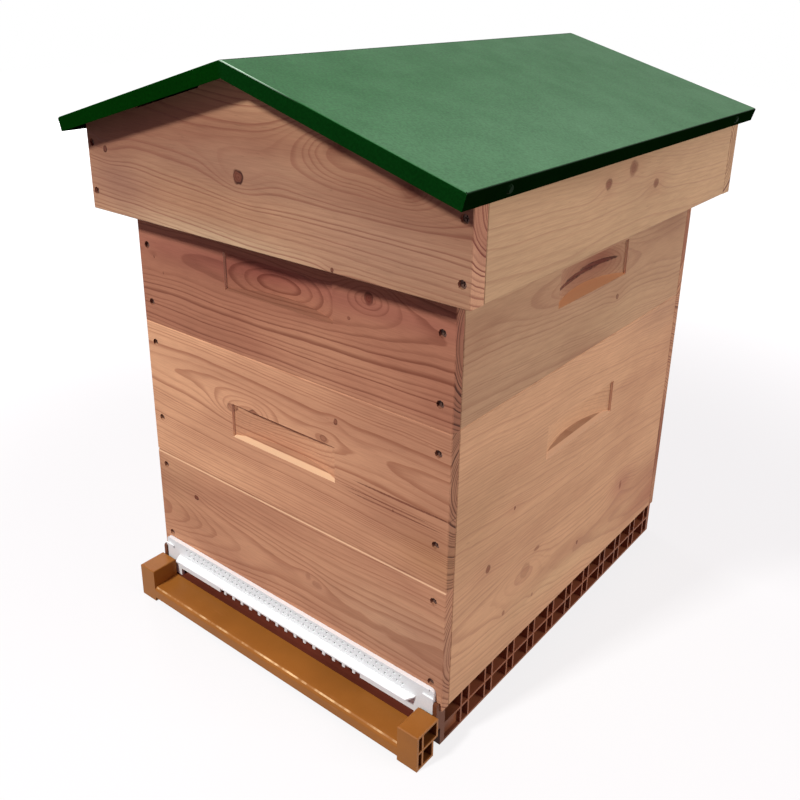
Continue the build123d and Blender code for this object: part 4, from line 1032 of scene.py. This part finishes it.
class HIVE_OT_floor(bpy.types.Operator):
    """Gives the floor, its grid and its tray their moulded plastics"""

    bl_idname = "hive.floor"
    bl_label = "Floor"

    def execute(self, context):
        finish = context.scene.hive_finishes
        rails = moulded("brown_floor_plastic", finish.brown, rough=0.45, cloud=0.12, scuff=0.25, gloss=0.12,
                        front=0.5)
        give(rails, "floor_left_rail", "floor_right_rail", "floor_rear_bar", "ventilation_grid")
        # Painted shade: the front sill under the reducer's hood gets a darker brown
        sill = moulded("shaded_sill_plastic", finish.sill_shade, rough=0.45, cloud=0.18, scuff=0.10, gloss=0.10)
        give(sill, "floor_front_sill")
        tray = moulded("tray_plastic", finish.tray, rough=0.40, cloud=0.05, scuff=0.15)
        give(tray, "tray_base", "tray_rim", "tray_pull")
        return {"FINISHED"}


class HIVE_OT_flight_board(bpy.types.Operator):
    """Gives the flight board its ochre plastic"""

    bl_idname = "hive.flight_board"
    bl_label = "Flight board"

    def execute(self, context):
        # Painted highlight on the nose and painted shade in the end blocks' cells
        board = moulded("ochre_flight_plastic", context.scene.hive_finishes.ochre, rough=0.38, cloud=0.10,
                        scuff=0.15, gloss=0.12, coat=0.05, nose=NOSE_TOP, cell_shade=0.7)
        give(board, "flight_board")
        return {"FINISHED"}


class HIVE_OT_reducer(bpy.types.Operator):
    """Gives the entrance reducer its white plastic"""

    bl_idname = "hive.reducer"
    bl_label = "Entrance reducer"

    def execute(self, context):
        # Painted light from above makes the reducer's faces that look up paler
        reducer = moulded("white_reducer_plastic", context.scene.hive_finishes.white, rough=0.36, cloud=0.02,
                          crown=1.34)
        give(reducer, "entrance_reducer")
        return {"FINISHED"}


class HIVE_OT_frames(bpy.types.Operator):
    """Gives the frames their pale wood and wax, and the strips their zinc"""

    bl_idname = "hive.frames"
    bl_label = "Frames"

    def execute(self, context):
        pale = context.scene.hive_wood.frame_wood
        long_bars = board_wood("top_bar_wood", "Y", pith=(0.10, 0.20), tilt=(0.05, 0.03), ring=0.7,
                               wander=0.006, seed=21.0, pink=0.0, pale=pale)
        give(long_bars, "brood_top_bars", "super_top_bars", "brood_bottom_bars", "super_bottom_bars")
        side_bars = board_wood("side_bar_wood", "X", pith=(0.10, 0.20), tilt=(0.05, 0.03), ring=0.7,
                               wander=0.006, seed=23.0, pink=0.0, pale=pale)
        give(side_bars, "brood_side_bars", "super_side_bars")
        give(wax_sheet(), "brood_foundation", "super_foundation")
        zinc = plated("zinc_plate", context.scene.hive_finishes.zinc, rough=0.30, shine=0.9)
        give(zinc, "brood_spacer_strips", "super_spacer_strips")
        return {"FINISHED"}


class HIVE_OT_crown_board(bpy.types.Operator):
    """Gives the crown board its pale panel and battens"""

    bl_idname = "hive.crown_board"
    bl_label = "Crown board"

    def execute(self, context):
        pale = context.scene.hive_wood.frame_wood
        panel = board_wood("crown_panel_wood", "Y", pith=(0.02, 0.46), tilt=(0.02, 0.03), ring=1.2,
                           wander=0.010, seed=31.0, pink=0.05, pale=pale)
        give(panel, "crown_panel")
        battens = board_wood("crown_batten_wood", "Y", pith=(0.10, 0.30), tilt=(0.02, 0.02), ring=0.8,
                             wander=0.006, seed=33.0, pink=0.05, pale=pale, cross=CROWN_RIM)
        give(battens, "crown_battens")
        return {"FINISHED"}


# Half the distance between the two columns of screws, and the depth of their heads
BOX_SCREWS = (0.2008, 0.2468)
ROOF_SCREWS = (0.239, 0.2768)


class HIVE_OT_screws(bpy.types.Operator):
    """Sets round countersunk screws with a cross in the boards"""

    bl_idname = "hive.screws"
    bl_label = "Screws"

    def execute(self, context):
        sizes = context.scene.hive_sizes
        steel = plated("dull_screw_steel", context.scene.hive_finishes.screw, rough=0.46, shine=0.20)
        sets = (
            ("brood_screw_heads", "brood_box", "brood_screws", *BOX_SCREWS, (0.075, 0.1715, 0.235, 0.331)),
            ("super_screw_heads", "super_box", "super_screws", *BOX_SCREWS, (0.380, 0.4465, 0.505)),
            ("roof_screw_heads", "roof", "roof_screws", *ROOF_SCREWS, (0.506, 0.558)),
        )
        for name, body, node, side, face, heights in sets:
            places = corner_places(side, face, heights)
            mesh = grids_mesh(name, *screw_grids(places, sizes.screw_head, sizes.screw_length))
            new_piece(name, mesh, body, steel, node)
        return {"FINISHED"}


LAMP_AIM = (0.0, 0.0, 0.3)
UP = (0.0, 0.0, 1.0)

# The camera's place in metres, its angles in degrees, and the picture's size, lens and centre in pixels
CAMERA_PLACE = (0.60941, -0.82471, 0.72822)
CAMERA_TURN = 38.01
CAMERA_RISE = 21.12
CAMERA_ROLL = 1.02
PICTURE = 800
PICTURE_LENS = 901.36
PICTURE_CENTRE = (404.88, 322.33)
SENSOR_MM = 36.0
FLOOR_HALF = 6.0
FLOOR_LEVEL = -0.0005


class HIVE_OT_stage(bpy.types.Operator):
    """Sets the pale floor, the soft lights, the white surroundings and the camera"""

    bl_idname = "hive.stage"
    bl_label = "Stage"

    def execute(self, context):
        stage = context.scene.hive_stage
        self.floor(stage)
        self.surroundings(stage)
        self.lamp("key_light", stage.key, turn=-11.5, rise=40.0, distance=4.5, size=0.45)
        self.lamp("side_light", stage.side, turn=103.0, rise=16.0, distance=4.0, size=2.4)
        self.lamp("rear_light", stage.rear, turn=-112.0, rise=4.0, distance=4.0, size=1.2)
        self.camera(context.scene)
        context.scene.view_settings.view_transform = "Standard"
        return {"FINISHED"}

    def floor(self, stage):
        """Flat square of floor. It keeps its shadows, and the camera sees it a little brighter."""
        material, tree, coords, output = new_material("studio_floor")
        matt = add(tree, "ShaderNodeBsdfDiffuse", {"Color": opaque((stage.floor,) * 3)})
        light = add(tree, "ShaderNodeLightPath").outputs
        seen = maths(tree, "MAXIMUM", light["Is Camera Ray"], light["Is Glossy Ray"])
        far = add(tree, "ShaderNodeVectorMath", {0: coords["Object"]}, operation="LENGTH").outputs["Value"]
        strength = times(tree, seen, ramp(tree, far, 0.55, 1.5, 0.80, 1.0))
        glow = add(tree, "ShaderNodeEmission", {"Color": WHITE, "Strength": strength})
        both = add(tree, "ShaderNodeAddShader", {0: matt.outputs[0], 1: glow.outputs[0]})
        tree.links.new(both.outputs[0], output.inputs["Surface"])
        across, along = np.meshgrid((-FLOOR_HALF, FLOOR_HALF), (-FLOOR_HALF, FLOOR_HALF))
        level = np.full_like(across, FLOOR_LEVEL)
        mesh = grids_mesh("studio_floor", np.stack([across, along, level], axis=-1))
        mesh.materials.append(material)
        floor = bpy.data.objects.new("studio_floor", mesh)
        bpy.context.scene.collection.objects.link(floor)

    def surroundings(self, stage):
        """Even light from all round, seen as white by the camera and in reflections."""
        world = bpy.data.worlds.new("studio")
        bpy.context.scene.world = world
        world.use_nodes = True
        tree = world.node_tree
        tree.nodes.clear()
        light = add(tree, "ShaderNodeLightPath").outputs
        through = maths(tree, "MAXIMUM", light["Is Glossy Ray"], light["Is Transmission Ray"])
        seen = maths(tree, "MAXIMUM", light["Is Camera Ray"], through)
        strength = ramp(tree, seen, 0.0, 1.0, stage.world, 1.0)
        tint = mix(tree, seen, SURROUNDING_LIGHT, WHITE)
        back = add(tree, "ShaderNodeBackground", {"Color": tint, "Strength": strength})
        output = add(tree, "ShaderNodeOutputWorld")
        tree.links.new(back.outputs[0], output.inputs["Surface"])

    def lamp(self, name, card, turn, rise, distance, size):
        """Square area light that looks at the hive's middle, turned from the front towards the right and
        raised. card is the brightness that it gives a white card facing it, so its power grows with the
        square of the distance."""
        data = bpy.data.lights.new(name, "AREA")
        data.shape = "SQUARE"
        data.size = size
        data.energy = card * (math.pi * distance) ** 2
        lamp = bpy.data.objects.new(name, data)
        bpy.context.scene.collection.objects.link(lamp)
        back = direction(turn, rise)
        lamp.matrix_world = axes_matrix(np.cross(UP, back), back, back * distance + LAMP_AIM)

    def camera(self, scene):
        """Camera at the photograph's place: turned right of the front, raised, and rolled by a degree."""
        roll = math.radians(CAMERA_ROLL)
        back = direction(CAMERA_TURN, CAMERA_RISE)
        level = np.cross(UP, back)
        level /= np.linalg.norm(level)
        right = level * math.cos(roll) + np.cross(back, level) * math.sin(roll)
        data = bpy.data.cameras.new("photograph")
        data.sensor_width = SENSOR_MM
        data.lens = PICTURE_LENS / PICTURE * SENSOR_MM
        data.shift_x = 0.5 - PICTURE_CENTRE[0] / PICTURE
        data.shift_y = PICTURE_CENTRE[1] / PICTURE - 0.5
        camera = bpy.data.objects.new("photograph", data)
        scene.collection.objects.link(camera)
        camera.matrix_world = axes_matrix(right, back, CAMERA_PLACE)
        scene.camera = camera


def direction(turn, rise):
    """Unit vector from the hive, turned by degrees from the front towards the right and raised by
    degrees."""
    turn, rise = math.radians(turn), math.radians(rise)
    return np.array([math.sin(turn) * math.cos(rise), -math.cos(turn) * math.cos(rise), math.sin(rise)])


def axes_matrix(right, back, place):
    """Matrix of an object that looks along -back, with its right-hand axis given."""
    right = right / np.linalg.norm(right)
    back = back / np.linalg.norm(back)
    up = np.cross(back, right)
    rows = np.column_stack([right, up, back, place])
    return Matrix([*rows.tolist(), [0.0, 0.0, 0.0, 1.0]])


STEPS = (
    HIVE_OT_boxes,
    HIVE_OT_roof_timber,
    HIVE_OT_roof_sheet,
    HIVE_OT_floor,
    HIVE_OT_flight_board,
    HIVE_OT_reducer,
    HIVE_OT_frames,
    HIVE_OT_crown_board,
    HIVE_OT_screws,
    HIVE_OT_stage,
)


class HIVE_PT_finish(bpy.types.Panel):
    """Lists the hive's pieces and their settings."""

    bl_idname = "HIVE_PT_finish"
    bl_label = "Hive"
    bl_space_type = "VIEW_3D"
    bl_region_type = "UI"
    bl_category = "Hive"

    def draw(self, context):
        column = self.layout.column()
        scene = context.scene
        for settings in (scene.hive_sizes, scene.hive_wood, scene.hive_finishes, scene.hive_stage):
            for key in settings.__annotations__:
                column.prop(settings, key)
        for step in STEPS:
            column.operator(step.bl_idname)


CLASSES = (HiveSizes, HiveWood, HiveFinishes, HiveStage, *STEPS, HIVE_PT_finish)


def register():
    """Registers the classes and the scene's settings."""
    for each in CLASSES:
        bpy.utils.register_class(each)
    bpy.types.Scene.hive_sizes = PointerProperty(type=HiveSizes)
    bpy.types.Scene.hive_wood = PointerProperty(type=HiveWood)
    bpy.types.Scene.hive_finishes = PointerProperty(type=HiveFinishes)
    bpy.types.Scene.hive_stage = PointerProperty(type=HiveStage)


def unregister():
    """Removes the scene's settings and the classes."""
    del bpy.types.Scene.hive_stage
    del bpy.types.Scene.hive_finishes
    del bpy.types.Scene.hive_wood
    del bpy.types.Scene.hive_sizes
    for each in reversed(CLASSES):
        bpy.utils.unregister_class(each)


def main():
    """Builds the shared effects and runs every step."""
    register()
    knot_group()
    tint_group()
    rings_group()
    face_group()
    skin_group()
    cell_group()
    bpy.ops.hive.boxes()
    bpy.ops.hive.roof_timber()
    bpy.ops.hive.roof_sheet()
    bpy.ops.hive.floor()
    bpy.ops.hive.flight_board()
    bpy.ops.hive.reducer()
    bpy.ops.hive.frames()
    bpy.ops.hive.crown_board()
    bpy.ops.hive.screws()
    bpy.ops.hive.stage()


if __name__ == "__main__":
    main()
